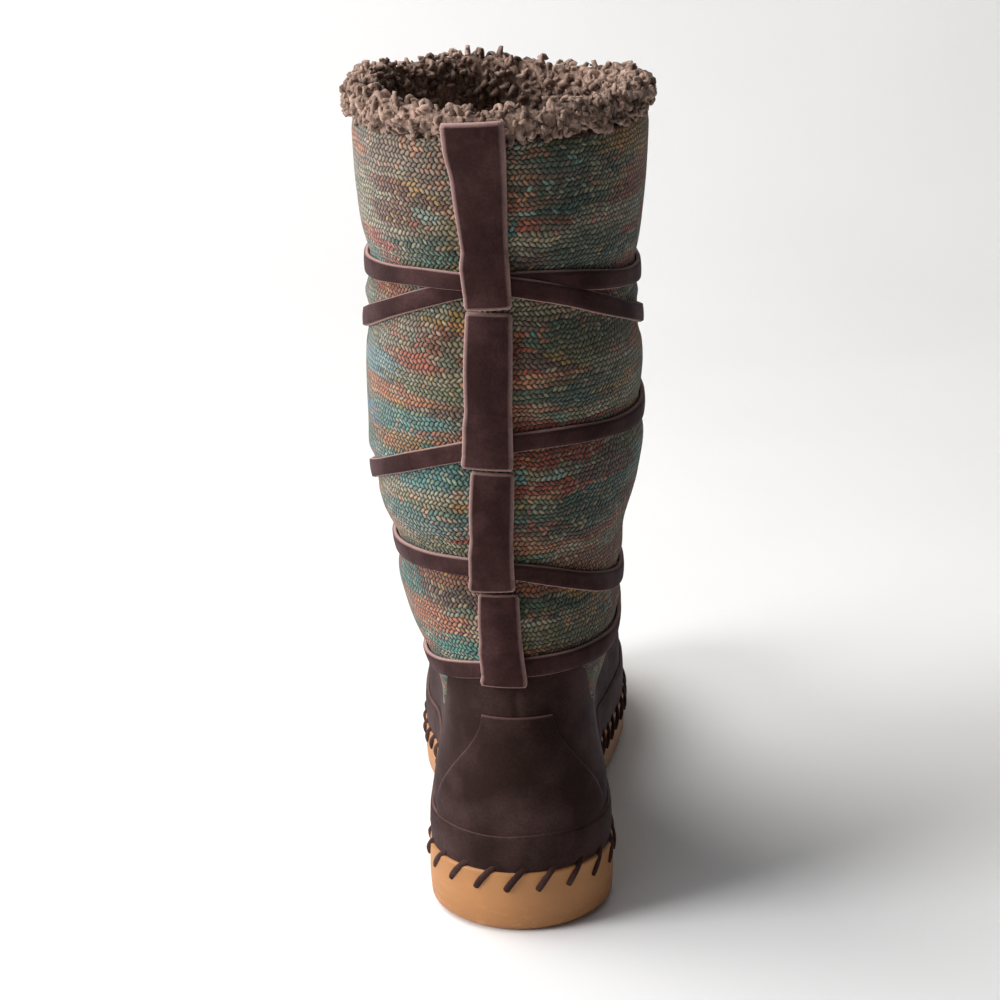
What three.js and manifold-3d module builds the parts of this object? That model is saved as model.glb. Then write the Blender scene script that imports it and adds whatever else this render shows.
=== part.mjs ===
// A mid-calf mukluk boot for the left foot: knitted shaft on a suede foot, pile cuff, flat suede straps
// that wind up the shaft through sewn loops on its back, and a laced rubber cup sole.
// Millimetres. +Z is up, +Y points to the toe, +X to the inner (medial) side of the foot.
// The origin is on the floor in the middle of the heel's tread.
import * as THREE from "three";
import { mergeVertices } from "three/addons/utils/BufferGeometryUtils.js";
import Module from "manifold-3d";

const wasm = await Module();
wasm.setup();

// Driving sizes of the foot and sole.
const SOLE_LENGTH = 266;
const BALL_WIDTH = 90;
const HEEL_SETBACK = 58; // from the origin back to the rearmost edge of the sole
const RIM_HEIGHT = 26; // top of the sole's side at the heel
const ARCH_RISE = 2.5;
const TOE_SPRING = 10;
const EDGE_ROUND = 4; // rounding where the sole's side meets its tread
const RIM_WIDTH = 2.7;
const RIM_ROUND = 0.6; // rounding of the rim's outer edge
const SIDE_BULGE = 0.4; // how far the sole's side swells out at its middle
const RECESS_DEPTH = 4; // how deep the upper sits in the sole
const TREAD_DEPTH = 2.2;
const TREAD_GROOVE = 3.2;
const TREAD_PITCH = 13;
const TREAD_CHEVRON = 9;
const TREAD_BORDER = 9;
const TREAD_END = 0.94; // last groove, as a share of the sole's length
const INSOLE_THICKNESS = 5;
const INSOLE_EDGE = 0.8; // rounding of its upper edge

// Driving sizes of the upper.
const WALL = 4; // knit or suede outside, pile lining inside
const ANKLE_HEIGHT = 104; // top of the suede tab behind the heel
const ANKLE_WIDTH = 80;
const COLLAR_HEIGHT = 308; // top edge of the knit at the back
const CALF_WIDTH = 102;
const CALF_DEPTH = 122;
const SHAFT_CENTRE = 11; // shaft's middle, ahead of the origin
const SHAFT_LEAN = 5; // how far the shaft leans to the outer side
const FRONT_RAISE = 4; // how much higher the shaft's front stands than its back

// Driving sizes of the trim.
const GAP = 0.35; // between pieces that lie against each other
const STRAP_SEAT = 0.6; // from the knit up to a strap
const STRAP_WIDTH = 7.4;
const STRAP_THICKNESS = 1.8;
const LOOP_THICKNESS = 1.8;
const KEEPER_WIDTH = 19;
const KEEPER_LENGTH = 34;
const RAND_HEIGHT = 16;
const RAND_THICKNESS = 1.4;
const RAND_CLEAR = 0.9; // from the rim up to the rand
const COUNTER_THICKNESS = 1.2;
const COUNTER_SEAT = 0.5; // from the foot up to the counter
const COUNTER_TOP_WIDTH = 26;
const COUNTER_FOOT_WIDTH = 74;
const COUNTER_HEIGHT = 46;
const COUNTER_CLEAR = 0.6; // from the rand up to the counter
const CUFF_HEIGHT = 12.5;
const CUFF_THICKNESS = 12.5;
const CUFF_OVERHANG = 3.2;
const CUFF_WAVE = 2; // rise of the cuff's top edge at its sides
const CUFF_SLUMP = 4; // how far it sags in front, on the inner side
const SLUMP_PLACE = 2.55; // angle of that sag

// How finely the curved pieces are cut.
const AROUND = 48;
const UPPER_LEVELS = 27;
const CUFF_SIDES = 10;
const STRAP_STEP = 8;

const HEEL_BACK = -HEEL_SETBACK;
const UPPER_TUCK = RIM_WIDTH + GAP;

// Plan of the sole: half widths each side of its spine, as shares of the ball width,
// at shares of the length from the heel.
const FOOTPRINT = [
  { at: 0.0, medial: 0.393, lateral: 0.393, spine: 0.0 },
  { at: 0.14, medial: 0.402, lateral: 0.402, spine: 0.0 },
  { at: 0.3, medial: 0.372, lateral: 0.397, spine: 0.0 },
  { at: 0.45, medial: 0.361, lateral: 0.42, spine: 0.0 },
  { at: 0.58, medial: 0.418, lateral: 0.501, spine: 0.005 },
  { at: 0.7, medial: 0.471, lateral: 0.523, spine: 0.016 },
  { at: 0.8, medial: 0.458, lateral: 0.501, spine: 0.032 },
  { at: 0.9, medial: 0.415, lateral: 0.442, spine: 0.054 },
  { at: 1.0, medial: 0.377, lateral: 0.388, spine: 0.075 },
];

// Height of the sole's side above its tread, as shares of the rim height.
const SIDE_HEIGHTS = [
  { at: 0.0, side: 1.0 },
  { at: 0.2, side: 0.97 },
  { at: 0.45, side: 0.87 },
  { at: 0.7, side: 0.8 },
  { at: 1.0, side: 0.8 },
];

// Sections of the foot. back and front are shares of the sole's length in from its ends. rise and crest
// are the heights at back and front, as shares of the height from rim to ankle. heelRound and toeRound are
// the lengths of the rounded ends, as shares of the sole's length. tuck is how far the side lies inside the
// sole's edge, as a share of the ball width. oval blends the footprint into an ankle oval of that width
// share. sag is how closely the section follows the curve of the sole's rim.
const FOOT_SECTIONS = [
  {
    name: "wall", back: 0.006, rise: 0.3, front: 0.013, crest: 0.25, heelRound: 0.13,
    toeRound: 0.215, tuck: 0.032, oval: 0.0, width: 0.84, sag: 0.85,
  },
  {
    name: "crown", back: 0.006, rise: 0.44, front: 0.045, crest: 0.41, heelRound: 0.13,
    toeRound: 0.235, tuck: 0.054, oval: 0.0, width: 0.84, sag: 0.65,
  },
  {
    name: "lowVamp", back: 0.01, rise: 0.57, front: 0.12, crest: 0.5, heelRound: 0.135,
    toeRound: 0.27, tuck: 0.081, oval: 0.08, width: 0.85, sag: 0.45,
  },
  {
    name: "vamp", back: 0.017, rise: 0.7, front: 0.215, crest: 0.585, heelRound: 0.14,
    toeRound: 0.3, tuck: 0.108, oval: 0.22, width: 0.87, sag: 0.3,
  },
  {
    name: "highVamp", back: 0.025, rise: 0.81, front: 0.315, crest: 0.7, heelRound: 0.15,
    toeRound: 0.31, tuck: 0.135, oval: 0.42, width: 0.91, sag: 0.15,
  },
  {
    name: "instep", back: 0.031, rise: 0.91, front: 0.405, crest: 0.845, heelRound: 0.165,
    toeRound: 0.28, tuck: 0.14, oval: 0.65, width: 0.95, sag: 0.05,
  },
  {
    name: "throat", back: 0.035, rise: 1.0, front: 0.468, crest: 1.03, heelRound: 0.185,
    toeRound: 0.25, tuck: 0.14, oval: 0.85, width: 0.99, sag: 0.0,
  },
];

// Sections of the shaft. lift is a share of the height from ankle to collar. back and front are shares of
// the calf's depth each way from the shaft's middle, width is a share of the calf's width, and lean a share
// of the whole lean. The knit is drawn in where the straps pass.
const SHAFT_SECTIONS = [
  { name: "ankle", lift: 0.09, back: 0.49, front: 0.555, width: 0.83, lean: 0.5 },
  { name: "lowStrap", lift: 0.2, back: 0.468, front: 0.512, width: 0.865, lean: 0.75 },
  { name: "lowFold", lift: 0.31, back: 0.482, front: 0.504, width: 0.99, lean: 0.85 },
  { name: "midStrap", lift: 0.44, back: 0.472, front: 0.482, width: 1.02, lean: 0.75 },
  { name: "midFold", lift: 0.59, back: 0.498, front: 0.506, width: 1.018, lean: 0.8 },
  { name: "topStrap", lift: 0.735, back: 0.482, front: 0.492, width: 0.99, lean: 0.75 },
  { name: "topFold", lift: 0.88, back: 0.512, front: 0.52, width: 1.045, lean: 0.75 },
  { name: "collar", lift: 1.0, back: 0.518, front: 0.524, width: 1.065, lean: 0.7 },
];

// Sewn loops down the back: top and foot of each, the height at which the strap passes under it, and
// its own widths. Heights are shares from ankle to collar; the drifts are its sideways shifts.
const BACK_LOOPS = [
  {
    name: "back_loop_1", top: 1.038, foot: 0.702, strap: 0.748,
    width: 21.6, footWidth: 15, drift: -7.4, footDrift: -3.1,
  },
  {
    name: "back_loop_2", top: 0.695, foot: 0.404, strap: 0.45,
    width: 17.2, footWidth: 17.8, drift: -3.4, footDrift: -5.0,
  },
  {
    name: "back_loop_3", top: 0.397, foot: 0.168, strap: 0.208,
    width: 16.4, footWidth: 15.7, drift: -3.3, footDrift: -4.5,
  },
  {
    name: "back_loop_4", top: 0.161, foot: -0.016, strap: 0.02,
    width: 15.3, footWidth: 15.8, drift: -2.6, footDrift: -4.3,
  },
];

// Route of the long strap: turns round the shaft, with whole numbers at the back and .25 at the inner side,
// and heights on the back line as shares from ankle to collar.
const LONG_STRAP = [
  { turn: -0.48, lift: 0.12 },
  { turn: -0.36, lift: 0.065 },
  { turn: -0.25, lift: -0.012 },
  { turn: 0.0, lift: 0.02 },
  { turn: 0.25, lift: 0.02 },
  { turn: 0.5, lift: 0.12 },
  { turn: 0.75, lift: 0.175 },
  { turn: 1.0, lift: 0.208 },
  { turn: 1.25, lift: 0.1 },
  { turn: 1.5, lift: 0.18 },
  { turn: 1.75, lift: 0.31 },
  { turn: 2.0, lift: 0.45 },
  { turn: 2.25, lift: 0.44 },
  { turn: 2.5, lift: 0.52 },
  { turn: 2.75, lift: 0.61 },
  { turn: 3.0, lift: 0.748 },
  { turn: 3.25, lift: 0.7 },
  { turn: 3.487, lift: 0.74 },
];

// Route of the short strap. It starts in front under the long one, crosses over it behind and comes round to
// the long one's end.
const SHORT_STRAP = [
  { turn: 0.5, lift: 0.52 },
  { turn: 0.25, lift: 0.61 },
  { turn: 0.0, lift: 0.748 },
  { turn: -0.25, lift: 0.725 },
  { turn: -0.487, lift: 0.74 },
];
const CROSSING_LIFT = 1.7; // how far one strap rides over the other
const LONG_CROSSINGS = [2.5];
const SHORT_CROSSINGS = [0];
const CROSSING_REACH = 0.07; // in turns

const TURN = 2 * Math.PI;

const mix = (a, b, share) => a + (b - a) * share;
const clamp = (value, low, high) => Math.min(high, Math.max(low, value));
const smoothStep = (value) => {
  const share = clamp(value, 0, 1);
  return share * share * (3 - 2 * share);
};

// Reads every column of a table at a key, through smooth cubic pieces between its rows.
function readTable(rows, key, at) {
  const value = clamp(at, rows[0][key], rows.at(-1)[key]);
  let i = 0;
  while (i < rows.length - 2 && value > rows[i + 1][key]) i += 1;
  const slopeAt = (column, j) => {
    const before = rows[Math.max(0, j - 1)];
    const after = rows[Math.min(rows.length - 1, j + 1)];
    return (after[column] - before[column]) / (after[key] - before[key]);
  };
  const span = rows[i + 1][key] - rows[i][key];
  const u = (value - rows[i][key]) / span;
  const result = {};
  for (const column of Object.keys(rows[i])) {
    if (typeof rows[i][column] !== "number") continue;
    const a = rows[i][column];
    const b = rows[i + 1][column];
    const rise = b - a;
    const limit = 3 * Math.abs(rise);
    const ease = (slope) => (slope * rise <= 0 ? 0 : clamp(slope * span, -limit, limit));
    const ma = ease(slopeAt(column, i));
    const mb = ease(slopeAt(column, i + 1));
    const u2 = u * u;
    const u3 = u2 * u;
    result[column] =
      (2 * u3 - 3 * u2 + 1) * a + (u3 - 2 * u2 + u) * ma + (3 * u2 - 2 * u3) * b + (u3 - u2) * mb;
  }
  return result;
}

// The sole's tread and rim heights along its length.
const HEEL_FLAT_END = 0.34;
const BALL_FLAT_START = 0.58;
const BALL_FLAT_END = 0.77;
const shareOf = (y) => (y - HEEL_BACK) / SOLE_LENGTH;

function treadZ(y) {
  const share = shareOf(y);
  if (share > HEEL_FLAT_END && share < BALL_FLAT_START) {
    const across = (share - HEEL_FLAT_END) / (BALL_FLAT_START - HEEL_FLAT_END);
    return ARCH_RISE * Math.sin(Math.PI * across) ** 2;
  }
  if (share > BALL_FLAT_END) return TOE_SPRING * ((share - BALL_FLAT_END) / (1 - BALL_FLAT_END)) ** 1.7;
  return 0;
}

const rimZ = (y) => treadZ(y) + RIM_HEIGHT * readTable(SIDE_HEIGHTS, "at", shareOf(y)).side;

// A closed ring round the foot. phi runs from the back (0) over the inner side to the front (PI) and home.
function ringPlan(ring, phi) {
  const length = ring.frontY - ring.backY;
  const fromBack = (length * (1 - Math.cos(phi))) / 2;
  const fromFront = length - fromBack;
  const round = (distance, reach) => {
    const rest = 1 - Math.min(distance / reach, 1);
    return Math.sqrt(1 - rest * rest);
  };
  const ends = round(fromBack, ring.heelRound) * round(fromFront, ring.toeRound);
  const y = ring.backY + fromBack;
  const medial = Math.sin(phi) >= 0;
  const print = readTable(FOOTPRINT, "at", shareOf(y));
  const foot = (medial ? print.medial : print.lateral) * BALL_WIDTH - ring.tuck;
  const half = mix(foot, ring.oval, ring.ovalShare);
  const spine = print.spine * BALL_WIDTH * (1 - ring.ovalShare) + ring.lean;
  return { x: spine + (medial ? 1 : -1) * half * ends, y, along: fromBack / length };
}

const HEEL_ROUND = 0.125;
const TOE_ROUND = 0.205;

function soleRing(inset) {
  return {
    backY: HEEL_BACK + inset,
    frontY: HEEL_BACK + SOLE_LENGTH - inset,
    heelRound: HEEL_ROUND * SOLE_LENGTH,
    toeRound: TOE_ROUND * SOLE_LENGTH,
    tuck: inset,
    oval: 0,
    ovalShare: 0,
    lean: 0,
  };
}

// The upper's sections in millimetres, keyed by their height on the back line.
function upperSections() {
  const rimBack = rimZ(HEEL_BACK);
  const rimFront = rimZ(HEEL_BACK + SOLE_LENGTH);
  const footRise = ANKLE_HEIGHT - rimBack;
  const frontRise = ANKLE_HEIGHT - rimFront;
  const feather = (name, lift) => ({
    name,
    level: rimBack + lift,
    frontZ: rimFront + lift,
    ...soleRing(UPPER_TUCK),
    sag: 1,
  });
  const foot = FOOT_SECTIONS.map((row) => ({
    name: row.name,
    level: rimBack + row.rise * footRise,
    frontZ: rimFront + row.crest * frontRise,
    backY: HEEL_BACK + row.back * SOLE_LENGTH,
    frontY: HEEL_BACK + (1 - row.front) * SOLE_LENGTH,
    heelRound: row.heelRound * SOLE_LENGTH,
    toeRound: row.toeRound * SOLE_LENGTH,
    tuck: row.tuck * BALL_WIDTH,
    oval: (row.width * ANKLE_WIDTH) / 2,
    ovalShare: row.oval,
    lean: 0,
    sag: row.sag,
  }));
  const shaftRise = COLLAR_HEIGHT - ANKLE_HEIGHT;
  const shaft = SHAFT_SECTIONS.map((row) => ({
    name: row.name,
    level: ANKLE_HEIGHT + row.lift * shaftRise,
    frontZ: ANKLE_HEIGHT + row.lift * shaftRise + FRONT_RAISE,
    backY: SHAFT_CENTRE - row.back * CALF_DEPTH,
    frontY: SHAFT_CENTRE + row.front * CALF_DEPTH,
    heelRound: ((row.back + row.front) * CALF_DEPTH) / 2,
    toeRound: ((row.back + row.front) * CALF_DEPTH) / 2,
    tuck: 0,
    oval: (row.width * CALF_WIDTH) / 2,
    ovalShare: 1,
    lean: -row.lean * SHAFT_LEAN,
    sag: 0,
  }));
  return [feather("feather", GAP - RECESS_DEPTH), feather("rim", 2), ...foot, ...shaft];
}
const SECTIONS = upperSections();
const LOWEST = SECTIONS[0].level;

// A point of the upper's outer face, at an angle round it and a height on its back line.
function upperPoint(phi, level) {
  const ring = readTable(SECTIONS, "level", level);
  const plan = ringPlan(ring, phi);
  const straight = mix(rimZ(ring.backY), rimZ(ring.frontY), plan.along);
  const sag = ring.sag * (rimZ(plan.y) - straight);
  return new THREE.Vector3(plan.x, plan.y, mix(ring.level, ring.frontZ, plan.along) + sag);
}

// The upper's two directions and outward normal at a point.
function upperFrame(phi, level) {
  const step = 0.01;
  const low = clamp(level - 1, LOWEST, COLLAR_HEIGHT - 2);
  const round = upperPoint(phi + step, level).sub(upperPoint(phi - step, level)).divideScalar(2 * step);
  const up = upperPoint(phi, low + 2).sub(upperPoint(phi, low)).divideScalar(2);
  const normal = new THREE.Vector3().crossVectors(round, up).normalize();
  return { round, up, normal };
}

// A point over the upper, lifted off it. Above the collar the face goes on straight up.
function overUpper(phi, level, lift) {
  const height = Math.min(level, COLLAR_HEIGHT);
  const { normal } = upperFrame(phi, height);
  const point = upperPoint(phi, height).addScaledVector(normal, lift);
  point.z += level - height;
  return point;
}

// A closed geometry from rows of points. Each row is one ring; the first and last rows are closed by
// strips from one side of the ring to the other, unless the rows themselves close on each other.
function ringSolid(rows, joined = false) {
  const count = rows[0].length;
  const position = rows.flat().flatMap((p) => [p.x, p.y, p.z]);
  const index = [];
  const quad = (a, b, c, d) => index.push(a, b, c, a, c, d);
  const last = joined ? rows.length : rows.length - 1;
  for (let r = 0; r < last; r += 1) {
    for (let i = 0; i < count; i += 1) {
      const next = (i + 1) % count;
      const here = r * count;
      const above = ((r + 1) % rows.length) * count;
      quad(here + i, here + next, above + next, above + i);
    }
  }
  if (!joined) {
    const top = (rows.length - 1) * count;
    for (let i = 0; i < count / 2; i += 1) {
      const mirror = (j) => (count - j) % count;
      quad(mirror(i), mirror(i + 1), i + 1, i);
      quad(top + i, top + i + 1, top + mirror(i + 1), top + mirror(i));
    }
  }
  const geometry = new THREE.BufferGeometry();
  geometry.setAttribute("position", new THREE.Float32BufferAttribute(position, 3));
  geometry.setIndex(index);
  return solidOf(geometry);
}

// Merges a geometry's shared corners and makes it a solid that can be joined and cut.
function solidOf(geometry) {
  const bare = geometry.index ? geometry.toNonIndexed() : geometry.clone();
  for (const name of ["normal", "uv"]) bare.deleteAttribute(name);
  const merged = mergeVertices(bare, 1e-4);
  const kept = [];
  const old = merged.index.array;
  for (let i = 0; i < old.length; i += 3) {
    const [a, b, c] = [old[i], old[i + 1], old[i + 2]];
    if (a !== b && b !== c && a !== c) kept.push(a, b, c);
  }
  return new wasm.Manifold(
    new wasm.Mesh({
      numProp: 3,
      vertProperties: merged.attributes.position.array,
      triVerts: new Uint32Array(kept),
    }),
  );
}

// The main body of a joined solid, without the slivers that touching faces leave.
const largestBody = (solid) => solid.decompose().sort((a, b) => b.volume() - a.volume())[0];

function geometryOf(solid) {
  const mesh = solid.getMesh();
  const geometry = new THREE.BufferGeometry();
  geometry.setAttribute("position", new THREE.BufferAttribute(mesh.vertProperties, 3));
  geometry.setIndex(new THREE.BufferAttribute(mesh.triVerts, 1));
  geometry.computeVertexNormals();
  return geometry;
}

const angles = Array.from({ length: AROUND }, (_, i) => (i / AROUND) * TURN);

// One ring of the sole at an inset from its edge and a height given along its length.
function soleRow(inset, heightAt) {
  const ring = soleRing(inset);
  return angles.map((phi) => {
    const plan = ringPlan(ring, phi);
    return new THREE.Vector3(plan.x, plan.y, heightAt(plan.y));
  });
}

// The grooves between the sole's lugs: chevrons inside a plain border.
function treadGrooves() {
  const half = BALL_WIDTH / 2;
  const joined = [];
  // A lug is centred on the origin, and the pattern counts both ways from it.
  const pattern = -(TREAD_CHEVRON + (TREAD_PITCH + TREAD_GROOVE) / 2);
  const first = pattern - TREAD_PITCH * Math.floor((pattern - HEEL_BACK - TREAD_BORDER) / TREAD_PITCH);
  for (let y = first; shareOf(y) < TREAD_END; y += TREAD_PITCH) {
    const share = shareOf(y);
    if (share > HEEL_FLAT_END && share < BALL_FLAT_START) continue;
    const shape = new THREE.Shape();
    shape.moveTo(-half, y);
    shape.lineTo(0, y + TREAD_CHEVRON);
    shape.lineTo(half, y);
    shape.lineTo(half, y + TREAD_GROOVE);
    shape.lineTo(0, y + TREAD_CHEVRON + TREAD_GROOVE);
    shape.lineTo(-half, y + TREAD_GROOVE);
    shape.closePath();
    const depth = TREAD_DEPTH + treadZ(y) + 1;
    const groove = new THREE.ExtrudeGeometry(shape, { depth, bevelEnabled: false });
    groove.translate(0, 0, -1);
    joined.push(solidOf(groove));
  }
  const border = ringSolid([
    soleRow(TREAD_BORDER, () => -2),
    soleRow(TREAD_BORDER, () => TREAD_DEPTH + TOE_SPRING),
  ]);
  return joined.reduce((a, b) => a.add(b)).intersect(border);
}

function makeOutsole() {
  const body = ringSolid([
    soleRow(EDGE_ROUND, treadZ),
    soleRow(EDGE_ROUND * 0.3, (y) => treadZ(y) + EDGE_ROUND * 0.3),
    soleRow(0, (y) => treadZ(y) + EDGE_ROUND),
    soleRow(-SIDE_BULGE, (y) => mix(treadZ(y), rimZ(y), 0.55)),
    soleRow(0, (y) => rimZ(y) - 1.6 * RIM_ROUND),
    soleRow(RIM_ROUND, rimZ),
    soleRow(RIM_WIDTH, rimZ),
    soleRow(RIM_WIDTH, (y) => rimZ(y) - RECESS_DEPTH),
  ]);
  return body.subtract(treadGrooves());
}

function makeInsole() {
  const side = UPPER_TUCK + WALL + 2 * GAP;
  const floor = (y) => rimZ(y) - RECESS_DEPTH + GAP;
  return ringSolid([
    soleRow(side + INSOLE_EDGE / 2, floor),
    soleRow(side, (y) => floor(y) + INSOLE_EDGE),
    soleRow(side + INSOLE_EDGE / 2, (y) => floor(y) + INSOLE_THICKNESS - INSOLE_EDGE),
    soleRow(side + 2.5 * INSOLE_EDGE, (y) => floor(y) + INSOLE_THICKNESS),
  ]);
}

function makeUpper() {
  const levels = Array.from({ length: UPPER_LEVELS + 1 }, (_, i) => {
    const share = i / UPPER_LEVELS;
    return mix(LOWEST, COLLAR_HEIGHT, share ** 1.25);
  });
  const outer = levels.map((level) => angles.map((phi) => upperPoint(phi, level)));
  const inner = levels.map((level) =>
    angles.map((phi) => {
      const point = overUpper(phi, level, -WALL);
      if (level === LOWEST) point.z = upperPoint(phi, level).z;
      if (level === COLLAR_HEIGHT) point.z = upperPoint(phi, level).z;
      return point;
    }),
  );
  return ringSolid([...outer, ...inner.reverse()], true);
}

// The pile cuff: a soft roll that sits on the collar and hangs over its outer face.
function makeCuff() {
  const rows = [];
  for (let j = 0; j < CUFF_SIDES; j += 1) {
    const turn = (j / CUFF_SIDES) * TURN;
    rows.push(
      angles.map((phi) => {
        const out = CUFF_OVERHANG - CUFF_THICKNESS / 2 + (Math.cos(turn) * CUFF_THICKNESS) / 2;
        const { normal } = upperFrame(phi, COLLAR_HEIGHT);
        const flat = new THREE.Vector3(normal.x, normal.y, 0).normalize();
        const point = upperPoint(phi, COLLAR_HEIGHT).addScaledVector(flat, out);
        const slump = CUFF_SLUMP * Math.exp(-(((phi - SLUMP_PLACE) / 0.55) ** 2));
        const height = CUFF_HEIGHT - CUFF_WAVE * 0.5 * Math.cos(2 * phi) - slump;
        point.z += GAP + (height / 2) * (1 + Math.sin(turn));
        return point;
      }),
    );
  }
  return ringSolid(rows, true);
}

// How far the upper's flat facets stand out from its curve, where the curve is hollow.
function facetRise(phi, level) {
  const point = upperPoint(phi, level);
  const { normal } = upperFrame(phi, level);
  const tall = (COLLAR_HEIGHT - LOWEST) / UPPER_LEVELS / 2;
  const wide = TURN / AROUND / 2;
  const between = (a, b) => Math.max(0, a.add(b).divideScalar(2).sub(point).dot(normal));
  return (
    between(upperPoint(phi, level + tall), upperPoint(phi, level - tall)) +
    between(upperPoint(phi + wide, level), upperPoint(phi - wide, level))
  );
}

// A flat band that lies over the upper along a route of angles and levels. Each stop gives its lift
// and half width; columns share the width, so the band follows the curve beneath it.
function bandSolid(stops, thickness, columns) {
  const rows = stops.map((stop, i) => {
    const before = stops[Math.max(0, i - 1)];
    const after = stops[Math.min(stops.length - 1, i + 1)];
    const { round, up } = upperFrame(stop.phi, Math.min(stop.level, COLLAR_HEIGHT));
    const run = round
      .clone()
      .multiplyScalar(after.phi - before.phi)
      .addScaledVector(up, after.level - before.level)
      .normalize();
    const { normal } = upperFrame(stop.phi, Math.min(stop.level, COLLAR_HEIGHT));
    const across = new THREE.Vector3().crossVectors(run, normal);
    const rr = round.dot(round);
    const ru = round.dot(up);
    const uu = up.dot(up);
    const det = rr * uu - ru * ru;
    const phiPer = (across.dot(round) * uu - across.dot(up) * ru) / det;
    const levelPer = (across.dot(up) * rr - across.dot(round) * ru) / det;
    const under = [];
    const over = [];
    for (let c = 0; c <= columns; c += 1) {
      const side = stop.half * ((2 * c) / columns - 1);
      const phi = stop.phi + phiPer * side;
      const level = stop.level + levelPer * side;
      const lift = stop.lift + facetRise(phi, Math.min(level, COLLAR_HEIGHT));
      under.push(overUpper(phi, level, lift));
      over.push(overUpper(phi, level, lift + thickness));
    }
    return [...under, ...over.reverse()];
  });
  return tubeSolid(rows);
}

// A closed solid through rows that each go once round a section, with flat ends.
function tubeSolid(rows) {
  const count = rows[0].length;
  const position = rows.flat().flatMap((p) => [p.x, p.y, p.z]);
  const index = [];
  for (let r = 0; r < rows.length - 1; r += 1) {
    for (let i = 0; i < count; i += 1) {
      const next = (i + 1) % count;
      const here = r * count;
      const above = here + count;
      index.push(here + i, above + next, here + next, here + i, above + i, above + next);
    }
  }
  const top = (rows.length - 1) * count;
  for (let i = 0; i < count / 2 - 1; i += 1) {
    const far = count - 1 - i;
    index.push(i, i + 1, far - 1, i, far - 1, far);
    index.push(top + i, top + far - 1, top + i + 1, top + i, top + far, top + far - 1);
  }
  const geometry = new THREE.BufferGeometry();
  geometry.setAttribute("position", new THREE.Float32BufferAttribute(position, 3));
  geometry.setIndex(index);
  const solid = solidOf(geometry);
  if (solid.volume() > 0) return solid;
  for (let i = 0; i < index.length; i += 3) [index[i + 1], index[i + 2]] = [index[i + 2], index[i + 1]];
  geometry.setIndex(index);
  return solidOf(geometry);
}

const shaftLevel = (lift) => ANKLE_HEIGHT + lift * (COLLAR_HEIGHT - ANKLE_HEIGHT);

// The stops of a winding strap, a few millimetres apart, with a smooth rise where it rides over another.
function strapStops(route, crossings) {
  const forward = route[0].turn < route.at(-1).turn ? route : [...route].reverse();
  const first = forward[0].turn;
  const last = forward.at(-1).turn;
  const girth = Math.PI * 0.5 * (CALF_WIDTH + CALF_DEPTH);
  const steps = Math.round(((last - first) * girth) / STRAP_STEP);
  return Array.from({ length: steps + 1 }, (_, i) => {
    const turn = mix(first, last, i / steps);
    const { lift } = readRoute(forward, turn);
    const near = Math.min(...crossings.map((at) => Math.abs(turn - at)), 1);
    const ride = CROSSING_LIFT * smoothStep(1.5 - near / CROSSING_REACH);
    return { phi: turn * TURN, level: shaftLevel(lift), lift: STRAP_SEAT + ride, half: STRAP_WIDTH / 2 };
  });
}

// Height of a strap at a turn, with the rise and fall that its hand-set points give it.
function readRoute(route, turn) {
  const curve = new THREE.SplineCurve(route.map((p) => new THREE.Vector2(p.turn, p.lift)));
  const share = (turn - route[0].turn) / (route.at(-1).turn - route[0].turn);
  let guess = share;
  for (let i = 0; i < 12; i += 1) {
    const point = curve.getPoint(clamp(guess, 0, 1));
    guess += ((turn - point.x) / (route.at(-1).turn - route[0].turn)) * 0.9;
  }
  return { lift: curve.getPoint(clamp(guess, 0, 1)).y };
}

function makeStraps() {
  const long = bandSolid(strapStops(LONG_STRAP, LONG_CROSSINGS), STRAP_THICKNESS, 1);
  const short = bandSolid(strapStops(SHORT_STRAP, SHORT_CROSSINGS), STRAP_THICKNESS, 1);
  return largestBody(long.add(short));
}

const STRAP_CLEAR = STRAP_SEAT + STRAP_THICKNESS + GAP;

// How much of the height of a loop the long strap takes up by its slant, at one of its turns.
function strapFall(turn, width) {
  const reach = width / 2 / (Math.PI * CALF_WIDTH);
  const ends = [turn - reach, turn + reach].map((at) => shaftLevel(readRoute(LONG_STRAP, at).lift));
  return Math.abs(ends[1] - ends[0]) / 2;
}

// How far a loop stands out towards its full swell, by its distance from the middle of its strap.
const swellAt = (away) => smoothStep(2.05 - away / (STRAP_WIDTH * 0.78));

// One sewn loop: it lies on the knit, swells over the strap that it holds and tucks in below it.
function makeBackLoop(row, turn, strapStack) {
  const top = shaftLevel(row.top);
  const foot = shaftLevel(row.foot);
  const strap = shaftLevel(row.strap);
  const fall = strapFall(turn, row.width);
  const steps = Math.max(8, Math.round((top - foot) / 3.2));
  const stops = Array.from({ length: steps + 1 }, (_, i) => {
    const level = mix(top, foot, i / steps);
    const drift = mix(row.drift, row.footDrift, i / steps);
    const { round } = upperFrame(0, Math.min(level, COLLAR_HEIGHT));
    const swell = swellAt(Math.max(0, Math.abs(level - strap) - fall));
    const overCuff = (CUFF_OVERHANG + GAP) * smoothStep((level - COLLAR_HEIGHT + 9) / 8);
    return {
      phi: drift / round.length(),
      level,
      lift: GAP + (strapStack - GAP) * swell + overCuff,
      half: mix(row.width, row.footWidth, i / steps) / 2,
    };
  });
  return bandSolid(stops, LOOP_THICKNESS, 4);
}

// The keeper in front, where the two strap ends meet.
function makeKeeper() {
  const middle = shaftLevel(SHORT_STRAP.at(-1).lift);
  const steps = 12;
  const stops = Array.from({ length: steps + 1 }, (_, i) => {
    const level = middle + KEEPER_LENGTH * (0.5 - i / steps);
    const swell = swellAt(Math.abs(level - middle));
    return {
      phi: Math.PI,
      level,
      lift: GAP + (STRAP_CLEAR - GAP) * swell,
      half: KEEPER_WIDTH / 2,
    };
  });
  return bandSolid(stops, LOOP_THICKNESS, 4);
}

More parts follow.
